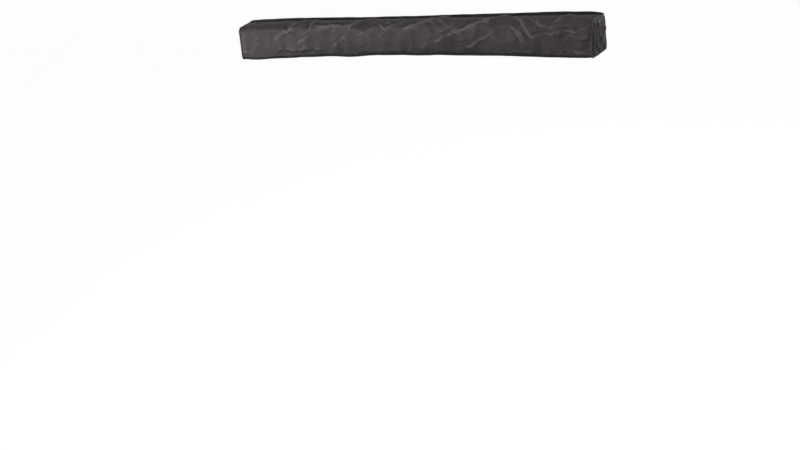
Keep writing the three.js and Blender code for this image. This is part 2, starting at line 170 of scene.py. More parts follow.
def studio_lamp(name, place, aim, size, power, beam=180):
    data = bpy.data.lights.new(name, "AREA")
    data.shape = "DISK"
    data.size = size
    data.energy = power
    data.spread = math.radians(beam)
    lamp = placed(name, data)
    towards = Vector(aim) - Vector(place)
    lamp.matrix_world = Matrix.Translation(place) @ towards.to_track_quat("-Z", "Y").to_matrix().to_4x4()


ground_level = -1.99
studio_world(lighting=0.095, mirrored=0.36)
studio_floor(ground_level, reach=60)
studio_lamp("key_lamp", (-2.8, -3.0, 0.35), (-0.1, -0.1, 0.1), size=0.9, power=45, beam=120)
studio_lamp("top_lamp", (0.3, -0.8, 3.4), (0.2, -0.1, 0.1), size=1.6, power=27)
studio_lamp("fill_lamp", (5.0, -0.6, 0.9), (0.9, -0.1, 0.1), size=1.0, power=46)
studio_lamp("rear_lamp", (2.7, 3.0, 0.5), (0.9, 0.0, 0.1), size=1.6, power=18)


# The back rail is a 6063 aluminium extrusion, cut to 1.99 m and satin anodised. Its die leaves
# faint lines along it, and the saw leaves bare, brighter ends. Nylon caps close both ends.
def coloured(tree, shader, ground, *coats):
    """Gives the shader its colour: a ground, with coats laid over it in turn. A coat has a colour
    and the pattern that says where it lies, and where these aren't 0, 1 and 1, the pattern's values
    where it starts and where it is full, and how strongly it covers there."""
    colour = linear(ground)
    for coat, pattern, *extent in coats:
        start, full, cover = extent or (0.0, 1.0, 1.0)
        share = add_node(tree, "ShaderNodeMapRange", {
            "Value": pattern, "From Min": start, "From Max": full, "To Min": 0.0, "To Max": cover,
        })
        colour = add_node(tree, "ShaderNodeMix", {
            0: share.outputs[0], 6: colour, 7: linear(coat),
        }, data_type="RGBA").outputs[2]
    tree.links.new(colour, shader.inputs["Base Color"])


def roughened(tree, shader, pattern, smooth, rough, start=0.0, stop=1.0):
    """Sets the roughness by a pattern: smooth where it is at start, and rough at stop"""
    share = add_node(tree, "ShaderNodeMapRange", {
        "Value": pattern, "From Min": start, "From Max": stop, "To Min": smooth, "To Max": rough,
    })
    tree.links.new(share.outputs[0], shader.inputs["Roughness"])


def object_noise(tree, scale, stretch=(1, 1, 1), detail=3.0):
    """A soft irregular pattern that stays on its piece, stretched along an axis where asked"""
    place = add_node(tree, "ShaderNodeTexCoord")
    turned = add_node(tree, "ShaderNodeMapping", {"Vector": place.outputs["Object"], "Scale": stretch})
    return add_node(
        tree, "ShaderNodeTexNoise", {"Vector": turned.outputs[0], "Scale": scale, "Detail": detail},
    ).outputs[0]


def bumped(tree, shader, height, strength, distance, rounding=0.0):
    """Raises the surface by a height pattern, and with rounding softens sharp edges that far"""
    sockets = {"Height": height, "Strength": strength, "Distance": distance}
    if rounding:
        soft = add_node(tree, "ShaderNodeBevel", {"Radius": rounding}, samples=4)
        sockets["Normal"] = soft.outputs[0]
    bump = add_node(tree, "ShaderNodeBump", sockets)
    tree.links.new(bump.outputs[0], shader.inputs["Normal"])


def anodised_aluminium():
    # Satin anodised aluminium: pale grey metal with fine lines along the extrusion, drawn 2 mm apart
    # where the real ones are 0.3 mm, and slightly duller patches from handling.
    material, tree, shader = start_material("anodised_aluminium", {"Metallic": 1.0})
    lines = object_noise(tree, 500, (0.004, 1, 1), 2.0)
    patches = object_noise(tree, 9, (0.4, 1, 1))
    coloured(tree, shader, "#a9abae", ("#c6c8ca", patches))
    duller = add_node(tree, "ShaderNodeMath", {0: patches, 1: lines}, operation="ADD")
    roughened(tree, shader, duller.outputs[0], 0.26, 0.48, 0.6, 1.4)
    bumped(tree, shader, lines, 0.25, 0.0002, 0.0005)
    return material


def moulded_nylon():
    # Glass-filled nylon: near-black, spark-eroded grain drawn at 1.5 mm, with a faint grey bloom.
    material, tree, shader = start_material("moulded_nylon", {})
    grain = object_noise(tree, 700, detail=2.0)
    bloom = object_noise(tree, 30)
    coloured(tree, shader, "#18191b", ("#2b2c2f", bloom))
    roughened(tree, shader, bloom, 0.38, 0.6)
    bumped(tree, shader, grain, 0.3, 0.0003, 0.0006)
    return material


def finish_nodes(material, *names):
    for name in names:
        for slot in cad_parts[name].material_slots:
            slot.material = material


aluminium = anodised_aluminium()
nylon = moulded_nylon()
finish_nodes(aluminium, "back_rail")
finish_nodes(nylon, "rail_end_cap_left", "rail_end_cap_right")


# Each rail cap is held by two pan-head screws in the extrusion's screw ports. They are zinc-plated
# steel, and their small sockets are drawn round.
def zinc_plated_steel():
    # Bright zinc with a faint blue-yellow passivation bloom and fine scratches.
    material, tree, shader = start_material("zinc_plated_steel", {"Metallic": 1.0})
    bloom = object_noise(tree, 60)
    scratches = object_noise(tree, 400, (1, 0.08, 1))
    coloured(tree, shader, "#b9bec4", ("#cfcabb", bloom))
    roughened(tree, shader, scratches, 0.22, 0.45)
    bumped(tree, shader, scratches, 0.15, 0.0002, 0.0004)
    return material


zinc = zinc_plated_steel()


def new_piece(name, points, faces, material, uv=None, crease=None, sharp=None, faded=None):
    """A smooth mesh. Edges past the angle sharp stay hard. The cover's cloth reads two values at its
    points: crease, for painted shade in hollows and a painted highlight on crests, and a lit share,
    below 1 where shade is painted on."""
    mesh = bpy.data.meshes.new(name)
    mesh.from_pydata([tuple(p) for p in np.asarray(points, float)], [], [tuple(f) for f in faces])
    mesh.materials.append(material)
    mesh.polygons.foreach_set("use_smooth", [True] * len(mesh.polygons))
    if uv is not None:
        layer = mesh.uv_layers.new(name="cloth")
        corners = np.zeros(len(mesh.loops), int)
        mesh.loops.foreach_get("vertex_index", corners)
        layer.data.foreach_set("uv", np.asarray(uv, float)[corners].ravel())
    for label, values in (("crease", crease), ("faded", faded)):
        if values is not None:
            layer = mesh.attributes.new(label, "FLOAT", "POINT")
            layer.data.foreach_set("value", np.asarray(values, float))
    if sharp is not None:
        mesh.set_sharp_from_angle(angle=math.radians(sharp))
    mesh.update()
    return placed(name, mesh)


def baked(piece):
    """The piece with its modifiers turned into a plain mesh"""
    bpy.context.view_layer.update()
    evaluated = piece.evaluated_get(bpy.context.evaluated_depsgraph_get())
    mesh = bpy.data.meshes.new_from_object(evaluated)
    piece.modifiers.clear()
    piece.data = mesh
    mesh.name = piece.name
    return piece


def ring_faces(rings, sides, closed=False):
    """The faces between rings of points. A closed tube joins its last ring to its first, and an
    open one has both ends capped."""
    faces = []
    for ring in range(rings if closed else rings - 1):
        first, second = ring * sides, (ring + 1) % rings * sides
        for step in range(sides):
            after = (step + 1) % sides
            faces.append((first + step, first + after, second + after, second + step))
    if not closed:
        faces.append(tuple(range(sides))[::-1])
        faces.append(tuple(range((rings - 1) * sides, rings * sides)))
    return faces


def lathe(name, profile, sides, material, origin, direction, ripple=(0, -1, 0, 0.0), sharp=35):
    """A profile of (distance, radius) pairs turned about an axis through origin. ripple gives
    (first row, last row, count, height) of the ribs that stand on it."""
    first_ribbed, last_ribbed, ribs, rib_height = ripple
    rib_squareness = 0.6
    axis = Vector(direction).normalized()
    side = axis.orthogonal().normalized()
    other = axis.cross(side)
    origin = Vector(origin)
    closed = profile[0] == profile[-1]
    if closed:
        profile = profile[:-1]
    points = []
    for row, (along, radius) in enumerate(profile):
        for step in range(sides):
            turn = 2 * math.pi * step / sides
            outwards = side * math.cos(turn) + other * math.sin(turn)
            reach = radius
            if first_ribbed <= row <= last_ribbed:
                reach += rib_height * (0.5 + 0.5 * math.cos(ribs * turn)) ** rib_squareness
            points.append(origin + axis * along + outwards * reach)
    return new_piece(name, points, ring_faces(len(profile), sides, closed), material, sharp=sharp)


def geometry_tree(name, inputs):
    """A Geometry Nodes tree with its named inputs; returns it, its input node and their sockets"""
    tree = bpy.data.node_groups.new(name, "GeometryNodeTree")
    sockets = {}
    for label, kind in [("Geometry", "NodeSocketGeometry")] + inputs:
        sockets[label] = tree.interface.new_socket(name=label, in_out="INPUT", socket_type=kind)
    tree.interface.new_socket(name="Geometry", in_out="OUTPUT", socket_type="NodeSocketGeometry")
    return tree, tree.nodes.new("NodeGroupInput"), sockets


def end_tree(tree, instances, material_socket):
    """Makes the copies real and gives them their material, because the export drops instances"""
    real = add_node(tree, "GeometryNodeRealizeInstances", {0: instances})
    painted = add_node(
        tree, "GeometryNodeSetMaterial", {"Geometry": real.outputs[0], "Material": material_socket},
    )
    smooth = add_node(tree, "GeometryNodeSetShadeSmooth", {"Geometry": painted.outputs[0]})
    add_node(tree, "NodeGroupOutput", {0: smooth.outputs[0]})


def fastener_tree():
    """Puts a copy of one fastener on every point, turned to the point's normal"""
    tree, given, sockets = geometry_tree(
        "fasteners", [("Fastener", "NodeSocketObject"), ("Material", "NodeSocketMaterial")],
    )
    shape = add_node(tree, "GeometryNodeObjectInfo", {"Object": given.outputs["Fastener"]})
    facing = add_node(
        tree, "GeometryNodeInputNamedAttribute", {"Name": "facing"}, data_type="FLOAT_VECTOR",
    )
    turn = add_node(
        tree, "FunctionNodeAlignRotationToVector", {"Vector": facing.outputs[0]}, axis="Z",
    )
    copies = add_node(
        tree, "GeometryNodeInstanceOnPoints",
        {"Points": given.outputs[0], "Instance": shape.outputs["Geometry"], "Rotation": turn.outputs[0]},
    )
    end_tree(tree, copies.outputs[0], given.outputs["Material"])
    return tree, sockets


fasteners = fastener_tree()


def run_tree(name, points, edges, tree_and_sockets, values, facing=None):
    """Runs a Geometry Nodes tree on points and edges, and keeps what it makes as a plain mesh"""
    tree, sockets = tree_and_sockets
    mesh = bpy.data.meshes.new(name)
    mesh.from_pydata([tuple(p) for p in points], edges, [])
    if facing is not None:
        layer = mesh.attributes.new("facing", "FLOAT_VECTOR", "POINT")
        layer.data.foreach_set("vector", np.asarray(facing, float).ravel())
    piece = placed(name, mesh)
    modifier = piece.modifiers.new(name, "NODES")
    modifier.node_group = tree
    for label, value in values.items():
        modifier[sockets[label].identifier] = value
    return baked(piece)


def dress(piece, body, node=None):
    """Says what a piece rides on, and hides the CAD node it stands for, if it does"""
    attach(piece, body)
    if node:
        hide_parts(node)


def fasten(name, template, places, facing, body):
    """Zinc-plated screws or rivets, one at each place"""
    piece = run_tree(
        name, places, [], fasteners, {"Fastener": template, "Material": zinc},
        [facing] * len(places),
    )
    dress(piece, body)


screw_profile = [
    (-0.0012, 0.0009), (0.0004, 0.0009), (0.0004, 0.0013), (0.0015, 0.0014),
    (0.0016, 0.0021), (0.0012, 0.0029), (0.0005, 0.0033), (0, 0.0034),
]
cap_screw = lathe("cap_screw", screw_profile, 12, zinc, (0, 0, 0), (0, 0, 1))


def cap_screws(name, cap, spots, body):
    """Screws at the same (y, z) spots in the outer faces of the left and the right cap"""
    for side, sign in (("left", -1), ("right", 1)):
        low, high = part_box(f"{cap}_{side}")
        face = low.x if sign < 0 else high.x
        fasten(f"{name}_{side}", cap_screw, [(face, *spot) for spot in spots], (sign, 0, 0), body)


rail_low, rail_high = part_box("back_rail")
rail_middle = (rail_low.y + rail_high.y) / 2
cap_screws("rail_cap_screws", "rail_end_cap", [(rail_middle, z) for z in (0.022, 0.118)], "rail")


# The two mount brackets are pressed from 5 mm steel, welded at their gussets and powder coated.
# Square-head M8 bolts slide in the rail's slot and carry zinc-plated nuts behind.
def powder_coated_steel():
    # Black polyester powder: an orange-peel skin drawn at 3 mm, rubbed bare here and there.
    material, tree, shader = start_material("powder_coated_steel", {"Coat Weight": 0.15})
    peel = object_noise(tree, 330, detail=1.0)
    rubs = object_noise(tree, 55, detail=6.0)
    coloured(tree, shader, "#1b1c1e", ("#6d6c69", rubs, 0.66, 0.74, 1.0))
    roughened(tree, shader, rubs, 0.42, 0.6, 0.66, 0.74)
    bumped(tree, shader, peel, 0.35, 0.0003, 0.0008)
    return material


powder = powder_coated_steel()
finish_nodes(powder, "mount_bracket_left", "mount_bracket_right")


def path_tree(name, measures, shape, turned):
    """Sets copies of a shape at even steps along each curve, turned to run along it where asked"""
    inputs = [(label, "NodeSocketFloat") for label in ("Spacing", *measures)]
    tree, given, sockets = geometry_tree(name, inputs + [("Material", "NodeSocketMaterial")])
    curve = add_node(tree, "GeometryNodeMeshToCurve", {0: given.outputs[0]})
    stations = add_node(tree, "GeometryNodeCurveToPoints", {
        "Curve": curve.outputs[0], "Length": given.outputs["Spacing"],
    }, mode="LENGTH")
    links = {"Points": stations.outputs["Points"], "Instance": shape(tree, given.outputs)}
    if turned:
        links["Rotation"] = stations.outputs["Rotation"]
    copies = add_node(tree, "GeometryNodeInstanceOnPoints", links)
    end_tree(tree, copies.outputs[0], given.outputs["Material"])
    return tree, sockets


def rounded_bar(tree, given):
    """A short bar with round ends, as a stitch or a weld ripple lies"""
    ball = add_node(tree, "GeometryNodeMeshUVSphere", {"Segments": 6, "Rings": 4, "Radius": 0.5})
    size = add_node(tree, "ShaderNodeCombineXYZ", {
        0: given["Thickness"], 1: given["Thickness"], 2: given["Length"],
    })
    return add_node(
        tree, "GeometryNodeTransform", {"Geometry": ball.outputs["Mesh"], "Scale": size.outputs[0]},
    ).outputs[0]


bar_rows = path_tree("row_along_path", ("Length", "Thickness"), rounded_bar, turned=True)


def rows_along(name, paths, spacing, length, thickness, material):
    """A row of stitches or weld ripples along each path"""
    points, edges = [], []
    for path in paths:
        start = len(points)
        points += [tuple(p) for p in path]
        edges += [(start + i, start + i + 1) for i in range(len(path) - 1)]
    return run_tree(
        name, points, edges, bar_rows,
        {"Spacing": spacing, "Length": length, "Thickness": thickness, "Material": material},
    )


gusset_thickness = 0.004
gusset_top = 0.0625
gusset_toe = 0.0953
wall_face = 0.0276
foot_face = 0.005
corner_gap = 0.003
end_gap = 0.006
for side in ("left", "right"):
    low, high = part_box(f"mount_bracket_{side}")
    seams = [[(low.x + end_gap, wall_face, foot_face), (high.x - end_gap, wall_face, foot_face)]]
    for inner in (low.x + gusset_thickness, high.x - gusset_thickness):
        seams += [
            [(inner, wall_face, foot_face + corner_gap), (inner, wall_face, gusset_top)],
            [(inner, wall_face + corner_gap, foot_face), (inner, gusset_toe, foot_face)],
        ]
    welds = rows_along(
        f"bracket_welds_{side}", seams, spacing=0.0017, length=0.0034, thickness=0.0038, material=powder,
    )
    dress(welds, "rail")
    for number in (1, 2):
        finish_nodes(zinc, f"bracket_bolt_{side}_{number}", f"bracket_nut_{side}_{number}")


# The rear flange is the strip of cover cloth that stays on the rail. A welt in the rail's top
# groove holds it; it stands up behind the frame, folds forward and carries the fixed zip tape.
cloth_wall = 0.0012
thread_gauge = 0.0007


def woven_height(tree, pitch):
    """The height of a plain weave: warp and weft threads that pass over each other in turn"""
    place = add_node(tree, "ShaderNodeUVMap", uv_map="cloth").outputs[0]
    cells = add_node(tree, "ShaderNodeTexChecker", {"Vector": place, "Scale": 1 / pitch})
    # A wave node at scale 1 has ten bands in pi units
    bands = 0.1 * math.pi / pitch
    warp, weft = (
        add_node(
            tree, "ShaderNodeTexWave", {"Vector": place, "Scale": bands}, wave_type="BANDS",
            bands_direction=way, wave_profile="SIN",
        ).outputs["Fac"]
        for way in "XY"
    )
    return add_node(tree, "ShaderNodeMix", {0: cells.outputs["Fac"], 2: warp, 3: weft}).outputs[0]


def coated_polyester():
    # Black polyester with a vinyl coat, gone charcoal in the sun: a soft sheen, painted paler on
    # crests, as highlight and rubbing, and painted darker, as shade, in hollows, in the weave's gaps
    # and where it faces down. Its 0.7 mm basket weave is drawn at 2.2 mm so that it shows.
    material, tree, shader = start_material("coated_polyester", {"Specular IOR Level": 0.4})
    weave = woven_height(tree, 0.0022)
    fade = object_noise(tree, 2.6, (0.6, 1, 1), 4.0)
    mottle = object_noise(tree, 38, detail=5.0)
    fold_light = add_node(tree, "ShaderNodeAttribute", attribute_name="crease").outputs["Fac"]
    painted_lit_share = add_node(tree, "ShaderNodeAttribute", attribute_name="faded").outputs["Fac"]
    coloured(
        tree, shader, "#362c33",
        ("#3c3239", fade, 0.3, 0.7, 1.0),
        # The weave's gaps are painted darker, as shade
        ("#1c191b", weave, 1.0, 0.0, 0.30),
        ("#474045", mottle, 0.38, 0.72, 0.30),
        # Hollows are painted dark, as shade, and crests painted pale, as highlight and rubbing
        ("#1b191b", fold_light, 0.5, 0.0, 0.68),
        ("#786f71", fold_light, 0.60, 1.0, 0.52),
        # Where it faces down it is painted near-black, as shade
        ("#151315", painted_lit_share, 1.0, 0.0, 1.0),
    )
    roughened(tree, shader, mottle, 0.36, 0.56, 0.3, 0.7)
    grain = add_node(tree, "ShaderNodeMath", {0: mottle, 1: 1.6}, operation="MULTIPLY")
    height = add_node(tree, "ShaderNodeMath", {0: weave, 1: grain.outputs[0]}, operation="ADD")
    bumped(tree, shader, height.outputs[0], 0.45, 0.0006)
    return material


def bonded_thread():
    # Black bonded nylon thread, two plies, with a slight shine on each stitch.
    material, tree, shader = start_material("bonded_thread", {"Roughness": 0.5})
    plies = object_noise(tree, 900, detail=1.0)
    coloured(tree, shader, "#232124", ("#4c484a", plies))
    return material


def woven_tape():
    # Binding and zip tape: a tight weave of black polyester, flatter and duller than the cloth.
    material, tree, shader = start_material("woven_tape", {"Roughness": 0.85})
    weave = woven_height(tree, 0.0014)
    # Thread tops are painted paler, as highlight, and the gaps darker, as shade
    coloured(tree, shader, "#1a191b", ("#302e31", weave))
    bumped(tree, shader, weave, 0.4, 0.0003)
    return material


cover_cloth = coated_polyester()
binding = woven_tape()
thread = bonded_thread()


def grid_faces(rows, columns):
    """The faces between points that are listed row by row"""
    return [
        (r * columns + c, r * columns + c + 1, (r + 1) * columns + c + 1, (r + 1) * columns + c)
        for r in range(rows - 1)
        for c in range(columns - 1)
    ]


def thickened(piece, wall, side=-1.0):
    """Gives a sheet its wall, to the inner side, or to both sides where side is 0"""
    solid = piece.modifiers.new("wall", "SOLIDIFY")
    solid.thickness = wall
    solid.offset = side
    solid.use_even_offset = False
    return baked(piece)


def swept(name, path, radius, sides, material):
    """A round cord along a path, with closed ends"""
    path = [Vector(p) for p in path]
    points = []
    normal = None
    for index, point in enumerate(path):
        before, after = path[max(index - 1, 0)], path[min(index + 1, len(path) - 1)]
        tangent = (after - before).normalized()
        if normal is None:
            normal = tangent.orthogonal().normalized()
        normal = (normal - tangent * normal.dot(tangent)).normalized()
        other = tangent.cross(normal)
        for step in range(sides):
            turn = 2 * math.pi * step / sides
            points.append(point + (normal * math.cos(turn) + other * math.sin(turn)) * radius)
    reach = np.repeat(np.cumsum([0] + [(b - a).length for a, b in zip(path, path[1:])]), sides)
    around = np.tile(np.arange(sides) * 2 * math.pi * radius / sides, len(path))
    uv = np.column_stack([reach, around])
    return new_piece(name, points, ring_faces(len(path), sides), material, uv)


def waves(place, seed, lengths, heights):
    """A smooth wander along a line, in metres, from a few sines with random phases"""
    draw = random.Random(seed)
    total = np.zeros_like(place)
    for length, height in zip(lengths, heights):
        total += height * np.sin(2 * math.pi * (place / length + draw.random()))
    return total


cover_reach = 1.0130
welt_line = 0.0143
zip_level = 0.1652
flange_front = 0.0052

stations = np.linspace(-cover_reach, cover_reach, 321)


def between(place, table):
    """Reads a table of (place, value) pairs, straight between them"""
    at, value = zip(*table)
    return np.interp(place, at, value)


def ramp(value, start, length):
    """From 0 at start to 1 a length further on, and level outside"""
    return np.clip((value - start) / length, 0, 1)


def leaned(points):
    """Shapes the right end as the slack cloth hangs: its lower front corner is drawn in and its
    upper rear corner pushed out"""
    drawn_in = 0.014
    pushed_out = 0.0065
    moved = np.array(points, float)
    x, y, z = (moved[..., axis] for axis in range(3))
    near_end = ramp(x, 0.88, 0.135) ** 2
    low_front = np.clip(1 - z / 0.166, 0, 1) * np.clip((0.02 - y) / 0.12, 0, 1)
    high_rear = ramp(z, 0.08, 0.07) * ramp(y, -0.07, 0.07)
    moved[..., 0] += near_end * (pushed_out * high_rear - drawn_in * low_front)
    return moved


# The welt stands unevenly, and drops with the zip at both ends, where the cover has nothing inside
welt_drop = [
    (-1.013, 0.0030), (-0.99, 0.0010), (-0.93, -0.0010), (-0.80, -0.0040), (-0.55, -0.0050),
    (-0.40, -0.0025), (-0.25, -0.0005), (-0.08, 0.0), (0.10, -0.0020), (0.28, -0.0040),
    (0.46, -0.0025), (0.62, -0.0040), (0.82, -0.0060), (0.90, -0.0050), (0.96, -0.0030),
    (0.99, 0.0005), (1.013, 0.0050),
]
zip_drop = [(-1.013, 0.0020), (-0.985, 0), (0.984, 0), (1.0, 0.0018), (1.013, 0.0045)]
fold_radius = 0.0022
fold_level = 0.1708
flange_path = [(welt_line, 0.1290), (welt_line, 0.1350)]
flange_path += [(welt_line + 0.0003, 0.1480), (welt_line + 0.0004, 0.1620)]
flange_path += [
    (welt_line - 0.0018 + fold_radius * math.cos(t), fold_level + fold_radius * math.sin(t))
    for t in np.linspace(0, math.pi, 9)
]
flange_path += [(0.0100, 0.1675), (0.0088, 0.1660), (0.0070, 0.1655), (flange_front, zip_level)]
flange_points, flange_uv = [], []
run = np.cumsum([0] + [math.dist(a, b) for a, b in zip(flange_path, flange_path[1:])])
sway = waves(stations, 11, (0.41, 0.173, 0.071), (0.0006, 0.0004, 0.0003))
lift = waves(stations, 12, (0.67, 0.29, 0.11), (0.0007, 0.0005, 0.0003))
top_fall = between(stations, welt_drop)
zip_fall = between(stations, zip_drop)
for index, x in enumerate(stations):
    for (y, z), far in zip(flange_path, run):
        free = ramp(z, 0.137, 0.03) * ramp(y, flange_front, 0.004)
        standing = z > 0.1668 or y > 0.014
        fall = top_fall[index] if standing else zip_fall[index]
        fall *= ramp(z, 0.140, 0.025)
        flange_points.append((x, y + sway[index] * free, z + lift[index] * free - fall))
        flange_uv.append((x, far))
# The flange is painted a little darker throughout, as shade
flange = new_piece(
    "rear_flange_cloth", leaned(flange_points), grid_faces(len(stations), len(flange_path)),
    cover_cloth, flange_uv,
    crease=np.full(len(flange_points), 0.5), faded=np.full(len(flange_points), 0.9),
)
# The fold at the top is bound with tape
bound_strips = range(3, 14)
flange.data.materials.append(binding)
for polygon in flange.data.polygons:
    polygon.material_index = int(polygon.index % (len(flange_path) - 1) in bound_strips)
thickened(flange, cloth_wall)
welt_radius = 0.0024
welt_end = 0.995
top_groove_level = 0.1294
seam_level, seam_end = 0.1440, 1.008
# It has no values at its points, so the cloth's painted shade covers it fully and it is drawn near-black
flange_welt = swept(
    "flange_welt", [(x, welt_line, top_groove_level) for x in (-welt_end, 0, welt_end)],
    welt_radius, 10, cover_cloth,
)
flange_seam = rows_along(
    "flange_stitches", [[(x, welt_line + cloth_wall, seam_level) for x in (-seam_end, seam_end)]],
    spacing=0.0048, length=0.0034, thickness=thread_gauge, material=thread,
)
dress(flange, "rail", "rear_flange")
dress(flange_welt, "rail")
dress(flange_seam, "rail")


# The zip is a coarse moulded one, like those on boat covers: two rows of nylon teeth that mesh on
# the top of the cover, one on the flange and one on the cover, with a slider and its pull.
def moulded_tooth(tree, given):
    """A block with a rounded head"""
    block_share = 0.46
    head_radius = 0.0011
    half = add_node(
        tree, "ShaderNodeMath", {0: given["Spacing"], 1: block_share}, operation="MULTIPLY",
    )
    size = add_node(tree, "ShaderNodeCombineXYZ", {
        0: half.outputs[0], 1: given["Width"], 2: given["Height"],
    })
    block = add_node(tree, "GeometryNodeMeshCube", {"Size": size.outputs[0]})
    head = add_node(tree, "GeometryNodeMeshCylinder", {
        "Vertices": 8, "Radius": head_radius, "Depth": given["Height"],
    })
    both = add_node(tree, "GeometryNodeJoinGeometry")
    for part in (block, head):
        tree.links.new(part.outputs["Mesh"], both.inputs[0])
    return both.outputs[0]


tooth_rows = path_tree("zip_teeth", ("Width", "Height"), moulded_tooth, turned=False)
tooth_pitch, tooth_width, tooth_height = 0.0042, 0.0030, 0.0026
tooth_level = 0.16535
tape_level = 0.16385
tape_wall = 0.0005
zip_line = 0.0023
zip_end = 1.009
for name, body, across, shift, node in (
    ("zip_teeth_fixed", "rail", 0.0012, 0.0, "zip_chain"),
    ("zip_teeth_moving", "cover", -0.0012, 0.5, None),
):
    places = np.linspace(-zip_end + shift * tooth_pitch, zip_end, 120)
    line = [(x, zip_line + across, tooth_level - between(x, zip_drop)) for x in places]
    links = [(i, i + 1) for i in range(len(line) - 1)]
    row = run_tree(name, line, links, tooth_rows, {
        "Spacing": tooth_pitch, "Width": tooth_width, "Height": tooth_height, "Material": nylon,
    })
    dress(row, body, node)
moving_teeth = row


def zip_tape(name, near, far, body):
    """The tape that carries a row of teeth, between two lines along the cover"""
    stops = np.linspace(-zip_end, zip_end, 121)
    edges = (near, (near + far) / 2, far)
    points = [(x, y, tape_level - between(x, zip_drop)) for x in stops for y in edges]
    uv = [(x, y) for x in stops for y in edges]
    tape = new_piece(name, points, grid_faces(len(stops), len(edges)), binding, uv)
    thickened(tape, tape_wall)
    dress(tape, body)
    return tape


zip_tape("zip_tape_fixed", 0.0024, 0.0115, "rail")
moving_tape = zip_tape("zip_tape_moving", -0.0100, 0.0022, "cover")
finish_nodes(nylon, "zip_slider", "zip_pull")
slider_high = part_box("zip_slider")[1]
bridge_path = [(slider_high.x - back, zip_line, slider_high.z + rise) for back, rise in (
    (0.0050, -0.0006), (0.0062, 0.0012), (0.0095, 0.0019), (0.0128, 0.0012), (0.0140, -0.0006),
)]
bridge_radius = 0.0009
zip_bridge = swept("zip_slider_bridge", bridge_path, bridge_radius, 8, nylon)
pull_low, pull_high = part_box("zip_pull")
grip_start, grip_length, grip_rise, grip_radius = 0.005, 0.010, 0.0004, 0.0014
grip_path = [
    (pull_low.x + grip_start + grip_length * share, zip_line, pull_high.z + grip_rise)
    for share in np.linspace(0, 1, 8)
]
pull_grip = swept("zip_pull_grip", grip_path, grip_radius, 8, nylon)
for piece in (zip_bridge, pull_grip):
    dress(piece, "zip_runner")


# The canopy is grey ripstop polyester. Its rear edge has a welt in the rail's front groove and its
# hem a welt in the lead bar. When shut it hangs slack from the rail and passes under the roll.
def ripstop_polyester():
    # Pale grey ripstop: a plain weave with a heavier thread every 8 mm each way, sun-faded in
    # patches and dull, as its coat is on the underside.
    material, tree, shader = start_material("ripstop_polyester", {
        "Roughness": 0.88, "Sheen Weight": 0.08,
    })
    place = add_node(tree, "ShaderNodeUVMap", uv_map="cloth").outputs[0]
    weave = woven_height(tree, 0.0016)
    grid = add_node(tree, "ShaderNodeTexBrick", {
        "Vector": place, "Scale": 1.0, "Mortar Size": 0.0007, "Mortar Smooth": 0.3,
        "Brick Width": 0.008, "Row Height": 0.008,
    }, offset=0.0)
    fade = object_noise(tree, 4, detail=4.0)
    heavy = grid.outputs["Fac"]
    coloured(
        tree, shader, "#8b8e8f",
        ("#929493", fade, 0.35, 0.65, 1.0),
        ("#6d6f70", heavy, 0.0, 1.0, 0.35),
    )
    height = add_node(tree, "ShaderNodeMath", {0: weave, 1: heavy}, operation="ADD")
    bumped(tree, shader, height.outputs[0], 0.4, 0.0004)
    return material


canopy_cloth = ripstop_polyester()
canopy_half = 0.950
canopy_wall = 0.0005
groove_line = 0.0119
groove_height = 0.1230
sheet_start, sheet_end = 0.0062, -0.0330
sheet_length = 1.98
sheet_sag = 0.55
groove_tail, hem_step = 0.006, 0.012
bar_low, bar_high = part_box("lead_bar")
hem_line = bar_low.y + 0.008
on_bar = bar_high.z + 0.0003
rows = 48
columns = 77
across = np.linspace(-canopy_half, canopy_half, columns)
belly = waves(across, 21, (0.63, 0.35, 0.19), (0.0016, 0.0012, 0.0008))
# A short tail of cloth lies in the rail's groove
sheet_points = [(x, groove_line, groove_height) for x in across]
sheet_uv = [(x, -groove_tail) for x in across]
for row in range(rows + 1):
    # Rows are set so that they lie evenly once the lead bar is out and the cloth is stretched
    share = row / rows
    t = 0.5 - math.sin(math.asin(1 - 2 * share) / 3)
    fall = share + sheet_sag * share * (1 - share)
    for column, x in enumerate(across):
        height = groove_height + (on_bar - groove_height) * fall
        height += belly[column] * math.sin(math.pi * share)
        sheet_points.append((x, sheet_start + (sheet_end - sheet_start) * t, height))
        sheet_uv.append((x, share * sheet_length))
# From there the cloth passes under the roll to the lead bar's groove
under_roll = [(y, on_bar) for y in (-0.045, -0.060, -0.075, -0.088)]
under_roll += [(hem_line + 0.0006, on_bar - 0.0002), (hem_line, on_bar - 0.0030)]
for step, (y, z) in enumerate(under_roll, 1):
    sheet_points += [(x, y, z) for x in across]
    sheet_uv += [(x, sheet_length + hem_step * step) for x in across]
sheet_rows = 1 + rows + 1 + len(under_roll)
sheet = new_piece(
    "canopy_sheet", sheet_points, grid_faces(sheet_rows, columns), canopy_cloth, sheet_uv,
)
thickened(sheet, canopy_wall)
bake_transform(sheet)
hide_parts("canopy_panel")
for name, node, body, centre in (
    ("canopy_rail_welt", "canopy_bead", "rail", (groove_line, groove_height)),
    ("canopy_hem_welt", "canopy_hem_bead", "bar", (hem_line, bar_high.z - 0.0056)),
):
    path = [(x, *centre) for x in np.linspace(-canopy_half, canopy_half, 9)]
    welt = swept(name, path, welt_radius, 10, canopy_cloth)
    dress(welt, body, node)


# The lead bar is a lighter extrusion of the same aluminium, with a groove for the canopy's hem. A
# nylon cap closes each end, held by two screws as on the rail.
finish_nodes(aluminium, "lead_bar")
finish_nodes(nylon, "lead_bar_cap_left", "lead_bar_cap_right")
bar_middle = (bar_low.z + bar_high.z) / 2
cap_screws("bar_cap_screws", "lead_bar_cap", [(y, bar_middle) for y in (-0.089, -0.071)], "bar")


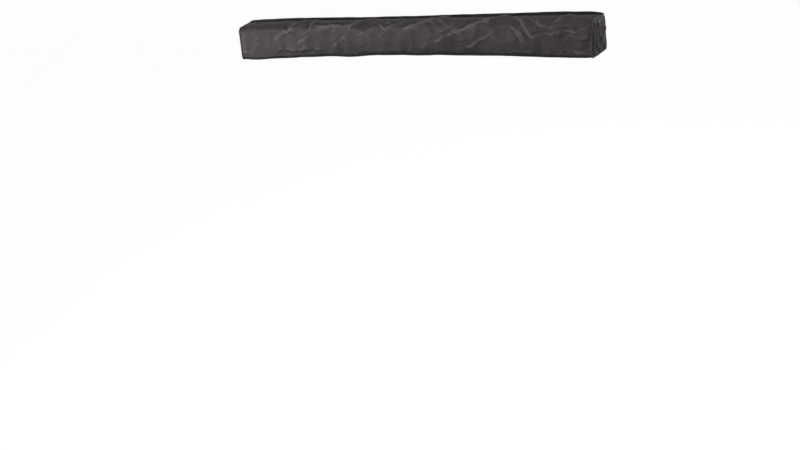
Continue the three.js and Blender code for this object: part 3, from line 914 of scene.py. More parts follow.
# The canopy is wound on itself, on top of the lead bar, from a core of a few tight turns. When the
# lead bar is out it is spent, and lies flat on the bar.
roll_radius = 0.0334
roll_core = 0.0085
roll_turns = 15
roll_start = -2.2
roll_y, roll_z = -0.0678, 0.1228
spent_level = bar_high.z + 0.0022
turn_steps = 26
spiral = []
for step in range(roll_turns * turn_steps + 1):
    share = step / (roll_turns * turn_steps)
    radius = roll_core + (roll_radius - roll_core) * share
    spiral.append((radius, 2 * math.pi * step / turn_steps + roll_start))
roll_columns = np.linspace(-canopy_half, canopy_half, 33)
roll_points, roll_uv = [], []
bulge = waves(roll_columns, 31, (0.71, 0.37, 0.21), (0.0003, 0.0002, 0.0002))
unrolled = 0.0
for index, (radius, turn) in enumerate(spiral):
    if index:
        unrolled += radius * 2 * math.pi / turn_steps
    # The turns don't end quite in line
    drift = 0.0012 * math.sin(turn / 2.3)
    for column, x in enumerate(roll_columns):
        reach = radius + bulge[column] * index / len(spiral)
        roll_points.append((
            x + drift * abs(x) / canopy_half,
            roll_y + reach * math.cos(turn),
            roll_z + reach * math.sin(turn),
        ))
        roll_uv.append((x, unrolled))
roll = new_piece(
    "canopy_wound", roll_points, grid_faces(len(spiral), len(roll_columns)), canopy_cloth, roll_uv,
)
thickened(roll, canopy_wall)
dress(roll, "bar", "canopy_roll")
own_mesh(roll)


# Three straps of ribbed webbing hold the roll down on the lead bar. Each is a loop whose tail lies
# on it over the back and top of the roll, where it closes with hook and loop.
def ribbed_webbing():
    # Black polypropylene webbing, with ribs across its width drawn at 2 mm.
    material, tree, shader = start_material("ribbed_webbing", {"Roughness": 0.82, "Sheen Weight": 0.2})
    place = add_node(tree, "ShaderNodeUVMap", uv_map="cloth").outputs[0]
    rib_pitch = 0.0020
    weave = woven_height(tree, rib_pitch)
    ribs = add_node(
        tree, "ShaderNodeTexWave", {"Vector": place, "Scale": 0.1 * math.pi / rib_pitch},
        wave_type="BANDS", bands_direction="Y", wave_profile="SIN",
    )
    height = add_node(tree, "ShaderNodeMath", {0: weave, 1: ribs.outputs["Fac"]}, operation="ADD")
    # Thread tops are painted paler, as highlight, and the gaps darker, as shade
    coloured(tree, shader, "#1f1f21", ("#3a393c", weave))
    bumped(tree, shader, height.outputs[0], 0.5, 0.0006)
    return material


strap_cloth = ribbed_webbing()
strap_half = 0.0125
strap_wall = 0.0013
strap_gap, tail_gap = 0.0020, 0.0036
strapped_radius = 0.034


def strap_outline(offset):
    """The loop round the lead bar and the roll, at a distance outside them"""
    centre = Vector((roll_y, roll_z))
    reach = strapped_radius + offset
    front = Vector((bar_low.y - offset, bar_low.z - offset))
    rear = Vector((bar_high.y + offset, bar_low.z - offset))
    to_front, to_rear = front - centre, rear - centre
    leave = math.atan2(to_rear.y, to_rear.x) + math.acos(min(reach / to_rear.length, 1))
    meet = math.atan2(to_front.y, to_front.x) - math.acos(min(reach / to_front.length, 1)) + 2 * math.pi
    loop = [front.lerp(rear, i / 8) for i in range(8)]
    first = centre + reach * Vector((math.cos(leave), math.sin(leave)))
    loop += [rear.lerp(first, i / 8) for i in range(8)]
    loop += [
        centre + reach * Vector((math.cos(turn), math.sin(turn)))
        for turn in np.linspace(leave, meet, 40)
    ]
    last = loop[-1]
    loop += [last.lerp(front, i / 8) for i in range(1, 8)]
    return loop


def webbing(name, middle, path):
    """A length of strap along a path of (y, z) points"""
    points, uv, run = [], [], 0.0
    lines = np.linspace(-strap_half, strap_half, 6)
    for index, point in enumerate(path):
        if index:
            run += (point - path[index - 1]).length
        for line in lines:
            points.append((middle + line, point.x, point.y))
            uv.append((line, run))
    piece = new_piece(name, points, grid_faces(len(path), len(lines)), strap_cloth, uv)
    thickened(piece, strap_wall, 0.0)
    dress(piece, "bar")
    return piece


# Where the strap passes the spent roll's level it is in two lengths: the lower one stays round the
# lead bar, and the upper one and the tail lie down with the roll.
loop = strap_outline(strap_gap)
tail_path = strap_outline(tail_gap)[13:34]
lower = [p for p in loop[:16] if p.y < spent_level]
upper = loop[len(lower):]
rise_end = lower[-1].lerp(upper[0], (spent_level - lower[-1].y) / (upper[0].y - lower[-1].y))
fall = [p for p in upper[20:] if p.y < spent_level]
upper = upper[:len(upper) - len(fall)]
fall_start = upper[-1].lerp(fall[0], (spent_level - upper[-1].y) / (fall[0].y - upper[-1].y))
for number in (1, 2, 3):
    low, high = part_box(f"roll_strap_{number}")
    middle = (low.x + high.x) / 2
    over = webbing(f"roll_strap_webbing_{number}", middle, [rise_end] + upper + [fall_start])
    webbing(f"roll_strap_sling_{number}", middle, [fall_start] + fall + lower + [rise_end])
    tail = webbing(f"roll_strap_tail_{number}", middle, tail_path)
    for piece in (over, tail):
        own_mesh(piece)
    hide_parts(f"roll_strap_{number}")


# Each arm and leg is a 22 mm tube on a nylon knuckle, pinned in a powder-coated clevis, with a
# ribbed twist collar that locks the thinner tube inside it, and a nylon tip or a rubber foot.
def moulded_rubber():
    # Natural rubber: dull black with a dusty bloom in patches.
    material, tree, shader = start_material("moulded_rubber", {"Roughness": 0.85})
    dust = object_noise(tree, 90, detail=5.0)
    coloured(tree, shader, "#161617", ("#3b3936", dust, 0.45, 0.75, 1.0))
    bumped(tree, shader, dust, 0.4, 0.0004)
    return material


rubber = moulded_rubber()
tube_radius, tube_bore = 0.0110, 0.0100
inner_radius, inner_bore = 0.0096, 0.0086
outer_start, outer_end = 0.0154, 1.05865
inner_start, inner_end = 0.0501, 1.07865
collar_start, collar_end = 1.03365, 1.07665
slide_gap = 0.0003
pivots = {
    "left_arm": ((-0.975, -0.0117, 0.0206), (1, 0, 0), (0, 0, 1)),
    "right_arm": ((0.975, -0.0117, 0.0506), (-1, 0, 0), (0, 0, 1)),
    "left_leg": ((-0.975, -0.0883, 0.0163), (1, 0, 0), (0, 1, 0)),
    "right_leg": ((0.975, -0.0583, 0.0163), (-1, 0, 0), (0, 1, 0)),
}


def tube_profile(start, end, radius, bore, edge):
    """The wall of a drawn tube, its sawn ends broken a little more inside than outside"""
    bore_edge = edge + 0.0001
    return [
        (start + bore_edge, bore), (start, bore + bore_edge), (start, radius - edge),
        (start + edge, radius), (end - edge, radius), (end, radius - edge),
        (end, bore + bore_edge), (end - bore_edge, bore), (start + bore_edge, bore),
    ]


for name, (origin, along, pin_axis) in pivots.items():
    arm = name.endswith("arm")
    finish_nodes(powder, f"{name}_clevis")
    finish_nodes(nylon, f"{name}_knuckle")
    pin = lathe(f"{name}_rivet_pin", [
        (-0.0153, 0.0010), (-0.0151, 0.0042), (-0.0143, 0.0058), (-0.0133, 0.0060), (-0.0133, 0.0040),
        (0.0133, 0.0040), (0.0133, 0.0060), (0.0143, 0.0058), (0.0151, 0.0042), (0.0153, 0.0010),
    ], 24, zinc, origin, pin_axis)
    pin_body = "rail" if arm else "bar"
    dress(pin, pin_body, f"{name}_pin")
    tube = lathe(
        f"{name}_drawn_tube", tube_profile(outer_start, outer_end, tube_radius, tube_bore, 0.0003),
        40, aluminium, origin, along,
    )
    dress(tube, name, f"{name}_outer_tube")
    mouth = outer_end + slide_gap
    collar = lathe(f"{name}_ribbed_collar", [
        (collar_start, tube_radius + slide_gap), (collar_start, 0.0120),
        (collar_start + 0.0012, 0.0128), (collar_start + 0.0060, 0.0128),
        (collar_start + 0.0074, 0.0129), (collar_end - 0.0110, 0.0129),
        (collar_end - 0.0096, 0.0128), (collar_end - 0.0020, 0.0126), (collar_end, 0.0110),
        (collar_end, inner_radius + slide_gap), (mouth, inner_radius + slide_gap),
        (mouth, tube_radius + slide_gap), (collar_start, tube_radius + slide_gap),
    ], 96, nylon, origin, along, ripple=(4, 5, 16, 0.0010))
    dress(collar, f"{name}_collar", f"{name}_twist_collar")
    inner = lathe(
        f"{name}_sliding_tube", tube_profile(inner_start, inner_end, inner_radius, inner_bore, 0.0002),
        36, aluminium, origin, along,
    )
    dress(inner, f"{name}_extension", f"{name}_inner_tube")
    face = inner_end + slide_gap
    plug = [(face - 0.025, 0.0040), (face - 0.0245, 0.0083), (face, 0.0083), (face, inner_radius)]
    if arm:
        tip = lathe(f"{name}_nose", plug + [
            (face + 0.0060, inner_radius), (face + 0.0065, 0.0070), (face + 0.0080, 0.0065),
            (face + 0.0180, 0.0063), (face + 0.0205, 0.0052), (face + 0.0219, 0.0032),
            (face + 0.0220, 0.0008),
        ], 32, nylon, origin, along)
        dress(tip, f"{name}_extension", f"{name}_tip")
    else:
        foot = lathe(f"{name}_ribbed_foot", plug + [
            (face + 0.0056, inner_radius), (face + 0.0060, 0.0112), (face + 0.0074, 0.0134),
            (face + 0.0092, 0.0135), (face + 0.0098, 0.0127), (face + 0.0108, 0.0127),
            (face + 0.0114, 0.0135), (face + 0.0132, 0.0135), (face + 0.0138, 0.0127),
            (face + 0.0148, 0.0127), (face + 0.0154, 0.0136), (face + 0.0180, 0.0136),
            (face + 0.0198, 0.0124), (face + 0.0200, 0.0100), (face + 0.0185, 0.0088),
            (face + 0.0185, 0.0010),
        ], 40, rubber, origin, along, sharp=50)
        dress(foot, f"{name}_extension", f"{name}_foot")


# Two blind rivets hold each knuckle in its tube. They are zinc-plated steel, set side by side from
# outside where the drilled tube and knuckle line up.
rivet = lathe("blind_rivet", [
    (-0.0006, 0.0022), (0.0000, 0.0024), (0.0005, 0.0021),
    (0.0008, 0.0013), (0.0007, 0.0008), (0.0003, 0.0007),
], 12, zinc, (0, 0, 0), (0, 0, 1))
rivet_places = (0.024, 0.038)
for name, (origin, along, pin_axis) in pivots.items():
    up = Vector(pin_axis)
    places = [Vector(origin) + Vector(along) * reach + up * tube_radius for reach in rivet_places]
    fasten(f"{name}_rivets", rivet, places, tuple(up), name)
for template in (cap_screw, rivet):
    bpy.data.objects.remove(template)


# The travel cover is one wrap of coated polyester over the top, front and bottom, sewn to an end
# panel at each side with piping in the seam. Its bottom edge has a welt in the rail's lower groove.
# The cloth is slack: it sags at both ends, where nothing stands in it, and is creased from folding.
def eased(place, table):
    """Interpolates a short table and rounds off its corners, over 12 spots (60 mm) to each side"""
    spots = np.linspace(-cover_reach, cover_reach, 406)
    weights = np.hanning(25) / np.hanning(25).sum()
    soft = np.convolve(np.pad(between(spots, table), 12, mode="edge"), weights, "valid")
    return np.interp(place, spots, soft)


# How far the lower edge hangs under its middle, from 0 there to 1 at the ends
sag_table = [
    (-1.013, 0.80), (-0.98, 0.99), (-0.93, 1.06), (-0.86, 0.88), (-0.78, 0.66), (-0.66, 0.52),
    (-0.51, 0.32), (-0.43, 0.26), (-0.36, 0.50), (-0.30, 0.42), (-0.25, 0.15), (-0.20, 0.0),
    (0.0, 0.0), (0.20, 0.10), (0.34, 0.24), (0.50, 0.34), (0.63, 0.46), (0.78, 0.80),
    (0.90, 0.98), (0.98, 1.02), (1.013, 0.89),
]
# How far the top stands above its usual level, in metres
rise_table = [
    (-1.013, -0.0129), (-0.985, -0.0074), (-0.93, -0.0016), (-0.80, 0.0012), (-0.68, 0.0030),
    (-0.45, 0.0010), (-0.27, 0.0004), (0.0, 0.0010), (0.20, 0.0016), (0.45, 0.0010),
    (0.70, 0.0026), (0.88, 0.0014), (0.96, -0.0015), (0.995, -0.0052), (1.013, -0.0089),
]
# How far the front leans out at its foot, and how full it is, each as a share of its most
flare_table = [
    (-1.013, 1), (-0.90, 0.8), (-0.70, 0.35), (-0.45, 0.1),
    (0, 0), (0.45, 0.2), (0.75, 0.55), (1.013, 1),
]
bulge_table = [
    (-1.013, 0.1), (-0.98, 0.5), (-0.90, 0.9), (-0.6, 1),
    (0.7, 1), (0.92, 0.8), (0.99, 0.4), (1.013, 0.1),
]
front_line = -0.1072
top_level = 0.1688
edge_line = -0.0007
hinge_level = 0.0048
wrap_rear = welt_line - 0.0007


def section_sizes(x):
    """The levels, corner radii and fullness of the wrap's section at places along it. Its lower
    corner is tighter where the left leg's collar lies in it."""
    sag = eased(x, sag_table)
    collar_gap = np.exp(-((x - 0.09) / 0.07) ** 4)
    beyond = ramp(np.abs(x), 0.985, 0.028)
    return {
        "bottom": 0.0008 - 0.0142 * sag,
        "rear": hinge_level - 0.0090 * beyond ** 1.5,
        "lower_rear": 0.0008 - 0.0062 * sag,
        "low_round": 0.024 - 0.008 * np.clip(sag, 0, 1) - 0.003 * collar_gap,
        "front": front_line + waves(x, 41, (0.83, 0.47), (0.0004, 0.0004)) - 0.0008,
        "flare": 0.0125 * eased(x, flare_table),
        "bulge": 0.0078 * eased(x, bulge_table),
        "top": top_level + eased(x, rise_table),
        "high_round": 0.037 - 0.012 * ramp(np.abs(x), 0.88, 0.12) ** 1.5,
        "zip": zip_level - between(x, zip_drop),
    }


# How many points each part of the section has, from the rail's lower groove round to the zip
parts = {"rise": 4, "under": 22, "low_corner": 9, "face": 30, "high_corner": 14, "over": 17}


def wrap_section(s):
    """Points (y, z) round a section of the wrap, from the rail's lower groove to the zip"""
    front, bottom, top = s["front"], s["bottom"], s["top"]
    low_round, high_round = s["low_round"], s["high_round"]
    low_y, low_z = front - s["flare"] + low_round, bottom + low_round
    high_y, high_z = front + high_round, top - high_round
    line = []
    for i in range(parts["rise"]):
        t = i / parts["rise"]
        line.append((wrap_rear, s["rear"] + (s["lower_rear"] - s["rear"]) * t))
    for i in range(parts["under"]):
        t = i / parts["under"]
        hang = math.sin(math.pi / 2 * t) ** 1.4
        level = s["lower_rear"] + (bottom - s["lower_rear"]) * hang
        line.append((wrap_rear + (low_y - wrap_rear) * t, level))
    for i in range(parts["low_corner"]):
        turn = math.pi / 2 * i / parts["low_corner"]
        line.append((low_y - low_round * math.sin(turn), low_z - low_round * math.cos(turn)))
    for i in range(parts["face"]):
        t = i / parts["face"]
        lean = s["flare"] * (1 - t) ** 1.3
        line.append((front - lean, low_z + (high_z - low_z) * t))
    for i in range(parts["high_corner"]):
        turn = math.pi / 2 * i / parts["high_corner"]
        line.append((high_y - high_round * math.cos(turn), high_z + high_round * math.sin(turn)))
    crown = 0.0020
    for i in range(parts["over"] + 1):
        t = i / parts["over"]
        settle = t ** 3
        level = (top + crown * math.sin(math.pi * t) ** 2) * (1 - settle) + s["zip"] * settle
        line.append((high_y + (edge_line - high_y) * t, level))
    first, last = parts["rise"] + parts["under"], len(line) - parts["over"] - 1
    for i in range(first, last):
        y, z = line[i]
        share = min(max((z - bottom) / (top - bottom), 0), 1)
        line[i] = (y - s["bulge"] * math.sin(math.pi * share), z)
    return line


wrap_columns = sum(parts.values()) + 1
wrap_stations = np.linspace(-cover_reach, cover_reach, 442)
sizes = section_sizes(wrap_stations)
wrap_base = np.array([
    [(x, y, z) for y, z in wrap_section({key: float(sizes[key][i]) for key in sizes})]
    for i, x in enumerate(wrap_stations)
])
along_x = np.gradient(wrap_base, axis=0)
along_s = np.gradient(wrap_base, axis=1)
wrap_normal = np.cross(along_x, along_s)
wrap_normal /= np.linalg.norm(wrap_normal, axis=2, keepdims=True)
steps = np.linalg.norm(np.diff(wrap_base, axis=1), axis=2)
wrap_run = np.concatenate([np.zeros((len(wrap_stations), 1)), np.cumsum(steps, axis=1)], axis=1)
lower_edge = parts["rise"] + parts["under"] + parts["low_corner"] // 2
height_up = wrap_run - wrap_run[:, lower_edge:lower_edge + 1]

# Creases that the photograph shows, in millimetres along the awning and up the face from its lower
# edge: (start, end, height, width of the steep flank, of the gentle flank, steep side, bend)
seen_creases = [
    ((-848, 239), (-781, 281), 3.0, 7, 22, 1, 0.01), ((-803, 99), (-675, 180), 1.8, 14, 36, 1, 0.01),
    ((-675, 180), (-619, 281), 4.4, 9, 30, 1, 0.01), ((-664, 73), (-572, 124), 2.8, 5, 20, 1, 0.01),
    ((-553, 183), (-562, 279), 4.0, 5, 18, 1, 0.02), ((-503, 182), (-315, 188), 7.5, 5, 28, 1, 0),
    ((-315, 188), (-148, 277), 7.0, 5, 28, 1, 0.01), ((-411, 71), (-351, 116), 2.0, 6, 20, 1, 0.04),
    ((-372, 82), (-344, 44), 1.6, 8, 20, -1, 0.10), ((-168, 206), (-59, 267), 4.6, 6, 24, 1, 0.01),
    ((22, 157), (155, 217), 8.0, 5, 28, 1, 0.01), ((155, 217), (222, 274), 8.0, 5, 28, 1, 0.01),
    ((-131, 182), (-101, 149), 1.8, 5, 14, -1, 0.02), ((328, 142), (458, 208), 9.5, 5, 28, 1, 0.01),
    ((458, 208), (560, 277), 9.5, 5, 28, 1, 0.01), ((118, 59), (302, 132), 2.8, 9, 28, 1, 0.02),
    ((365, 57), (475, 109), 3.8, 7, 24, 1, 0.02), ((604, 230), (696, 115), 6.0, 9, 30, -1, -0.06),
    ((613, 148), (660, 81), 4.4, 6, 22, -1, 0.02), ((831, 201), (880, 286), 6.8, 5, 22, 1, 0.01),
    ((735, 206), (762, 160), 2.4, 10, 24, -1, 0.10), ((812, 160), (850, 190), 1.6, 12, 26, 1, 0.10),
    ((712, 108), (829, 134), 3.0, 8, 24, 1, 0.04), ((852, 135), (971, 147), 2.6, 7, 24, 1, 0.02),
    ((-995, 46), (-839, 54), 4.6, 9, 26, -1, 0.01), ((-752, 60), (-520, 54), 5.0, 10, 30, -1, 0.01),
    ((-189, 34), (-2, 38), 3.4, 9, 28, -1, 0.01), ((475, 30), (694, 38), 3.4, 9, 26, -1, 0.01),
    ((917, 38), (990, 33), 3.0, 7, 18, 1, 0.01),
]
# Shorter and lower ones are strewn between them
draw = random.Random(77)
loose_creases = []
for _ in range(70):
    x, v = draw.uniform(-1000, 1000), draw.uniform(4, 262)
    lean = draw.choice((-1, 1, 1, 1)) * draw.uniform(0.35, 1.1)
    reach = draw.uniform(22, 80)
    loose_creases.append((
        (x - reach * math.cos(lean), v - reach * 0.55 * math.sin(lean)),
        (x + reach * math.cos(lean), v + reach * 0.55 * math.sin(lean)),
        draw.uniform(0.5, 1.6), draw.uniform(4, 8), draw.uniform(14, 30), draw.choice((-1, -1, 1)), 0.03,
    ))


def crease_field(creases, x, v):
    """How far the cloth stands out at (x, v): a tent along each crease, steep on one side, with a
    hollow beside its steep flank. The crease wanders a little and fades out past its ends."""
    fade_length = 22
    crest_width = 3
    out = np.zeros_like(x)
    for (x0, v0), (x1, v1), height, steep, gentle, side, bend in creases:
        length = math.hypot(x1 - x0, v1 - v0)
        dx, dv = (x1 - x0) / length, (v1 - v0) / length
        t = ((x - x0) * dx + (v - v0) * dv) / length
        within = np.clip(t, 0, 1)
        off = -(x - x0) * dv + (v - v0) * dx + bend * length * np.sin(math.pi * within)
        off = off + 2.6 * np.sin(t * length / 19 + x0) + 1.2 * np.sin(t * length / 7.5 + v0)
        off = off * side
        before = np.clip(-t, 0, None) * length / fade_length
        beyond = np.clip(t - 1, 0, None) * length / fade_length
        fade = np.exp(-before ** 2) * np.exp(-beyond ** 2)
        fade *= 0.62 + 0.24 * np.sin(math.pi * within) + 0.20 * np.sin(t * length / 14 + v0)
        flank = np.where(off > 0, steep, gentle)
        peak = np.exp(-(np.sqrt(off ** 2 + crest_width ** 2) - crest_width) / flank)
        hollow = np.exp(-((off - 2.1 * steep) / (1.25 * steep)) ** 2)
        out += height * fade * (peak - 0.40 * hollow)
    return out


def held_over(stand, least):
    """Lets the cloth sink only a little below its least stand, where hard pieces lie behind it"""
    return np.where(stand < least, least + 0.25 * np.tanh((stand - least) / 0.8), stand)


x_mm = wrap_base[:, :, 0] * 1000
v_mm = height_up * 1000 + 7
v_mm = v_mm + 16 * ramp(v_mm, 118, 75)
# Broad waves over the whole cloth, and a pucker at the end seams, where its thread draws it in
swell = (
    1.3 * np.sin(x_mm / 71 + 1.3 * np.sin(x_mm / 190)) * np.sin(v_mm / 46 + 0.4)
    + 1.0 * np.sin(x_mm / 118 + v_mm / 60 + 2.0)
    + 0.5 * np.sin(x_mm / 31 - v_mm / 23 + 0.7 * np.sin(x_mm / 57))
)
from_end = cover_reach * 1000 - np.abs(x_mm)
pucker = 0.7 * np.sin(v_mm / 3.6 + 1.1 * np.sin(v_mm / 21)) * np.exp(-from_end / 11)
to_zip = (wrap_run[:, -1:] - wrap_run) * 1000
from_hinge = wrap_run * 1000
end_fade = ramp(from_end, 0, 22)
below = np.clip((5 - v_mm) / 14, 0, 1)
stand = (crease_field(seen_creases + loose_creases, x_mm, v_mm) + swell) * end_fade
stand = stand + pucker * ramp(from_end, 0, 4)
stand = stand * (1 - 0.78 * below) * ramp(to_zip, 4, 26) * ramp(from_hinge, 8, 30)
least = -0.2 - 6.0 * np.sin(math.pi * ramp(v_mm, 0, 160)) * end_fade
stand = held_over(stand, least)
wrap_points = wrap_base + wrap_normal * (stand / 1000)[:, :, None]
wrap_faces = [face[::-1] for face in grid_faces(len(wrap_stations), wrap_columns)]


def slackened(points, faces, hold, growth, frames):
    """Simulates cloth that is cut larger than its place, held by a weight at each point"""
    mesh = bpy.data.meshes.new("slack_cloth")
    mesh.from_pydata([tuple(p) for p in points], [], faces)
    cloth = placed("slack_cloth", mesh)
    group = cloth.vertex_groups.new(name="hold")
    for index, weight in enumerate(hold):
        group.add([index], float(weight), "REPLACE")
    modifier = cloth.modifiers.new("slack", "CLOTH")
    settings = modifier.settings
    settings.quality = 5
    settings.mass = 0.02
    settings.tension_stiffness = 40
    settings.compression_stiffness = 40
    settings.shear_stiffness = 13
    settings.bending_model = "LINEAR"
    settings.bending_stiffness = 22
    settings.vertex_group_mass = "hold"
    settings.pin_stiffness = 1.0
    settings.shrink_min = -growth
    settings.shrink_max = -growth
    settings.effector_weights.gravity = 0
    modifier.collision_settings.use_collision = False
    modifier.point_cache.frame_end = frames
    for step in range(1, frames + 1):
        scene.frame_set(step)
    evaluated = cloth.evaluated_get(bpy.context.evaluated_depsgraph_get())
    settled = np.zeros(len(points) * 3)
    evaluated.data.vertices.foreach_get("co", settled)
    scene.frame_set(1)
    bpy.data.objects.remove(cloth)
    return settled.reshape(-1, 3)


def refined(field, every):
    """Spreads values known at some rows and columns over the whole grid, smoothly"""
    known_rows, known_columns = (np.arange(count) * every for count in field.shape)
    rows, columns = (np.arange((count - 1) * every + 1) for count in field.shape)
    wide = np.array([np.interp(columns, known_columns, line) for line in field])
    full = np.array([np.interp(rows, known_rows, line) for line in wide.T]).T
    for _ in range(4):
        full = np.pad(full, 1, mode="edge")
        full = (full[:-2] + 2 * full[1:-1] + full[2:]) / 4
        full = (full[:, :-2] + 2 * full[:, 1:-1] + full[:, 2:]) / 4
    return full


# The cloth is simulated on every third row and column, cut 2 % too large and held softly in place.
# What it does is added in part, so that it doesn't hide the creases above.
slack = 0.02
every = 3
coarse = (slice(None, None, every), slice(None, None, every))
sewn_width = 8
sewn_hold, slack_hold = 1.0, 0.24
inside = np.minimum.reduce([from_end, to_zip, from_hinge])[coarse]
shiver = np.random.RandomState(5).randn(*inside.shape) * (inside > sewn_width) / 1000
start = wrap_points[coarse] + wrap_normal[coarse] * shiver[:, :, None]
hold = np.where(inside < sewn_width, sewn_hold, slack_hold)
faces = [face[::-1] for face in grid_faces(*inside.shape)]
settled = slackened(start.reshape(-1, 3), faces, hold.ravel(), slack, frames=28)
settled = settled.reshape(start.shape)
buckle = ((settled - wrap_points[coarse]) * wrap_normal[coarse]).sum(axis=2) * 1000
simulated_share = 0.42
stand = stand + simulated_share * refined(buckle, every) * (1 - 0.8 * below)
stand = held_over(stand, least)
most = 5.2 + 3.2 * ramp(v_mm, 150, 60)
stand = np.where(stand > most, most + 1.5 * np.tanh((stand - most) / 3), stand)
wrap_points = wrap_base + wrap_normal * (stand / 1000)[:, :, None]


def kept_above(value, limit):
    """Turns values smoothly before they pass a lower limit, in metres"""
    softness = 0.0007
    return limit + softness * np.logaddexp(0, (value - limit) / softness)


# The cloth stands no further forward or down than this
front_most, lowest = -0.1222, -0.0146
wrap_points[:, :, 1] = kept_above(wrap_points[:, :, 1], front_most)
wrap_points[:, :, 2] = kept_above(wrap_points[:, :, 2], lowest)


def ridges(points, normal):
    """How far each point stands proud of its neighbours, in metres, with the rim left at 0"""
    away = 3
    proud = np.zeros(points.shape[:2])
    for axis in (0, 1):
        middle = (np.roll(points, away, axis) + np.roll(points, -away, axis)) / 2
        proud += ((points - middle) * normal).sum(axis=2)
    proud[:away], proud[-away:], proud[:, :away], proud[:, -away:] = 0, 0, 0, 0
    return proud


def painted_light_by_facing(normal):
    """How much of the cloth is left unshaded: it is painted darker, as shade, where it faces down"""
    return np.clip((normal[..., 2] + 0.24) / 0.26, 0, 1)


# Crests are painted pale, as highlight and rubbing, and hollows painted dark, as shade: 0.5 is plain
# cloth
wrap_proud = ridges(wrap_points, wrap_normal) - ridges(wrap_base, wrap_normal)
# Along the seen creases the crests are painted paler still, as highlight and rubbing
crest_highlight = ramp(crease_field(seen_creases, x_mm, v_mm), 0, 7) ** 3
wrap_fold_light = np.clip(0.5 + wrap_proud / 0.0042 + 0.45 * crest_highlight, 0, 1)
wrap_uv = np.stack([wrap_base[:, :, 0], wrap_run], axis=2)
wrap_points = leaned(wrap_points)
wrap = new_piece(
    "cover_wrap_cloth", wrap_points.reshape(-1, 3), wrap_faces, cover_cloth,
    wrap_uv.reshape(-1, 2), wrap_fold_light.ravel(), faded=painted_light_by_facing(wrap_normal).ravel(),
)
thickened(wrap, cloth_wall)
cover_pieces = [wrap, moving_teeth, moving_tape]
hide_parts("cover_wrap")


# The end panels are cut from the same cloth. Nothing stands inside them, so they sag outwards and
# crease where the cover is folded over the rail's end.
end_sizes = section_sizes(np.array([-cover_reach, cover_reach]))
panel_rear = 0.0150
panel_gap = 0.0006
seam_hold = 0.014
for index, (side, sign) in enumerate((("left", -1), ("right", 1))):
    s = {key: float(value[index]) for key, value in end_sizes.items()}
    up = np.linspace(0, 1, 58)
    seam = np.array(wrap_section(s))[parts["rise"]:]
    under_part = seam[parts["under"] - 1::-1]
    front_part = seam[parts["under"]:-parts["over"]]
    over_part = seam[-parts["over"] - 1:]
    heights = s["bottom"] + (s["top"] - s["bottom"]) * up
    front_edge = np.interp(heights, front_part[:, 1], front_part[:, 0])
    depth = np.linspace(0, 1, 44) ** 1.25
    y_grid = front_edge[None, :] + (panel_rear - front_edge[None, :]) * depth[:, None]
    top_edge = np.interp(y_grid, over_part[:, 0], over_part[:, 1])
    low_edge = np.interp(y_grid, under_part[:, 0], under_part[:, 1])
    z_grid = low_edge + (top_edge - low_edge) * up[None, :]
    hold = ramp(np.minimum.reduce([
        y_grid - front_edge[None, :], z_grid - s["bottom"], s["top"] - z_grid,
    ]), 0, seam_hold)
    folds = crease_field([
        ((-97, 16), (-99, 148), 6.5, 5, 9, 1, 0.02), ((-78, 24), (-84, 150), 6.0, 6, 11, 1, 0.03),
        ((-60, 158), (-52, 84), 4.6, 6, 15, -1, 0.05), ((-40, 26), (4, 118), 5.4, 7, 22, 1, 0.03),
        ((-84, 44), (-34, 10), 4.0, 7, 18, -1, 0.05), ((-26, 160), (2, 104), 5.6, 6, 16, 1, 0.05),
        ((-30, 66), (-6, 20), 3.4, 6, 16, -1, 0.05),
    ], y_grid * 1000, z_grid * 1000)
    # The sag, a little unevenness and the folds, in millimetres
    inwards = np.sin(math.pi * depth * 0.75)[:, None]
    belly = 6.0 * inwards * np.sin(math.pi * up[None, :]) ** 0.6 + 2.0
    belly = belly + 1.3 * np.sin(y_grid * 1000 / 17 + z_grid * 1000 / 29)
    out = (belly + 1.2 * folds) * hold / 1000
    points = np.stack([sign * (cover_reach + panel_gap + np.maximum(out, 0)), y_grid, z_grid], axis=2)
    faces = grid_faces(len(depth), len(up))
    panel_normal = np.zeros_like(points)
    panel_normal[:, :, 0] = sign
    # Fold crests are painted paler, as highlight, and hollows darker, as shade
    fold_light = np.clip(0.5 + ridges(points, panel_normal) / 0.0034, 0, 1)
    # The end panel is painted a little darker throughout, as shade
    panel = new_piece(
        f"cover_end_cloth_{side}", leaned(points).reshape(-1, 3),
        faces if sign > 0 else [face[::-1] for face in faces], cover_cloth,
        np.stack([y_grid, z_grid], axis=2).reshape(-1, 2), fold_light.ravel(), faded=np.full(fold_light.size, 0.85),
    )
    thickened(panel, cloth_wall)
    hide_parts(f"cover_end_{side}")
    cover_pieces.append(panel)


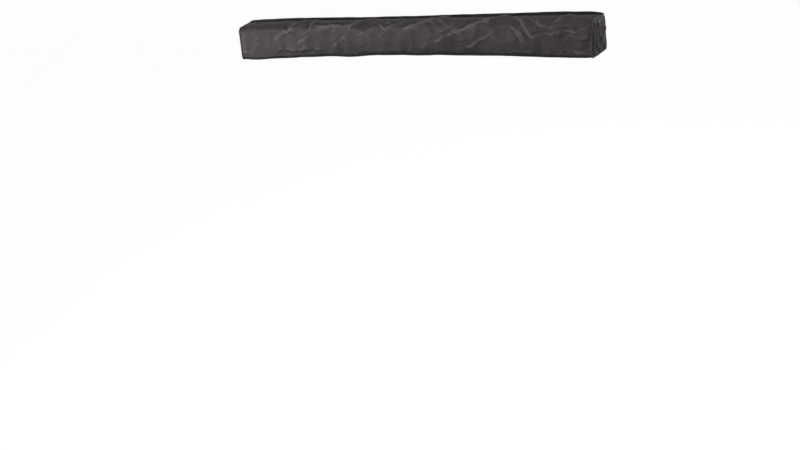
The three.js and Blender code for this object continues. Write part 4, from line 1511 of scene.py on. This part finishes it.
# Piping is a cord in a bias strip of coated cloth, sewn into each end seam, with a row of stitches
# beside it on the wrap. Another row holds the wrap's hem beside the zip, and the cover's lower edge
# has a welt in the rail's lower groove.
def piping_vinyl():
    # The strip is stretched over its cord: smoother than the cloth, with more shine, and painted a
    # little paler, as the highlight along the seam.
    material, tree, shader = start_material("piping_vinyl", {"Coat Weight": 0.1})
    rub = object_noise(tree, 45, detail=4.0)
    coloured(tree, shader, "#403c3e", ("#5c5759", rub))
    roughened(tree, shader, rub, 0.3, 0.55)
    bumped(tree, shader, object_noise(tree, 500, detail=2.0), 0.3, 0.0002)
    return material


piping_cloth = piping_vinyl()
piping_radius = 0.0022
piping_out, piping_proud = 0.0016, 0.0008
piping_front_most, piping_lowest = -0.1212, -0.0130
above_cloth = 0.0002
stitch = {"spacing": 0.0050, "length": 0.0036, "thickness": thread_gauge * 1.3, "material": thread}
for side, sign in (("left", -1), ("right", 1)):
    row = 0 if sign < 0 else -1
    seam = (wrap_base[row] + wrap_normal[row] * piping_proud)[parts["rise"]:]
    seam[:, 0] = sign * (cover_reach + piping_out)
    seam[:, 1] = kept_above(seam[:, 1], piping_front_most)
    seam[:, 2] = kept_above(seam[:, 2], piping_lowest)
    seam = leaned(seam)
    # At the top it runs on past the zip's end to the flange
    past_zip = [(seam[-1][0], y, seam[-1][2] + 0.0010) for y in (0.004, 0.0095, 0.0145)]
    piping = swept(
        f"cover_piping_{side}", [tuple(p) for p in seam] + past_zip, piping_radius, 10, piping_cloth,
    )
    cover_pieces.append(piping)
    # The stitches follow the fifth row of the wrap's points from its end
    inset = 4 if sign < 0 else -5
    beside = wrap_points[inset] + wrap_normal[inset] * above_cloth
    stitched = rows_along(f"cover_end_stitches_{side}", [beside[parts["rise"] + 1:-3]], **stitch)
    cover_pieces.append(stitched)
hem_path = wrap_points[3:-3, -5] + wrap_normal[3:-3, -5] * above_cloth
cover_pieces.append(rows_along("cover_hem_stitches", [hem_path], **stitch))
low_groove_level = 0.0106
# It has no values at its points, so the cloth's painted shade covers it fully and it is drawn near-black
lower_welt = swept(
    "cover_lower_welt", [(x, welt_line, low_groove_level) for x in np.linspace(-welt_end, welt_end, 9)],
    welt_radius, 10, cover_cloth,
)
dress(lower_welt, "rail")
for piece in cover_pieces:
    dress(piece, "cover")
    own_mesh(piece)
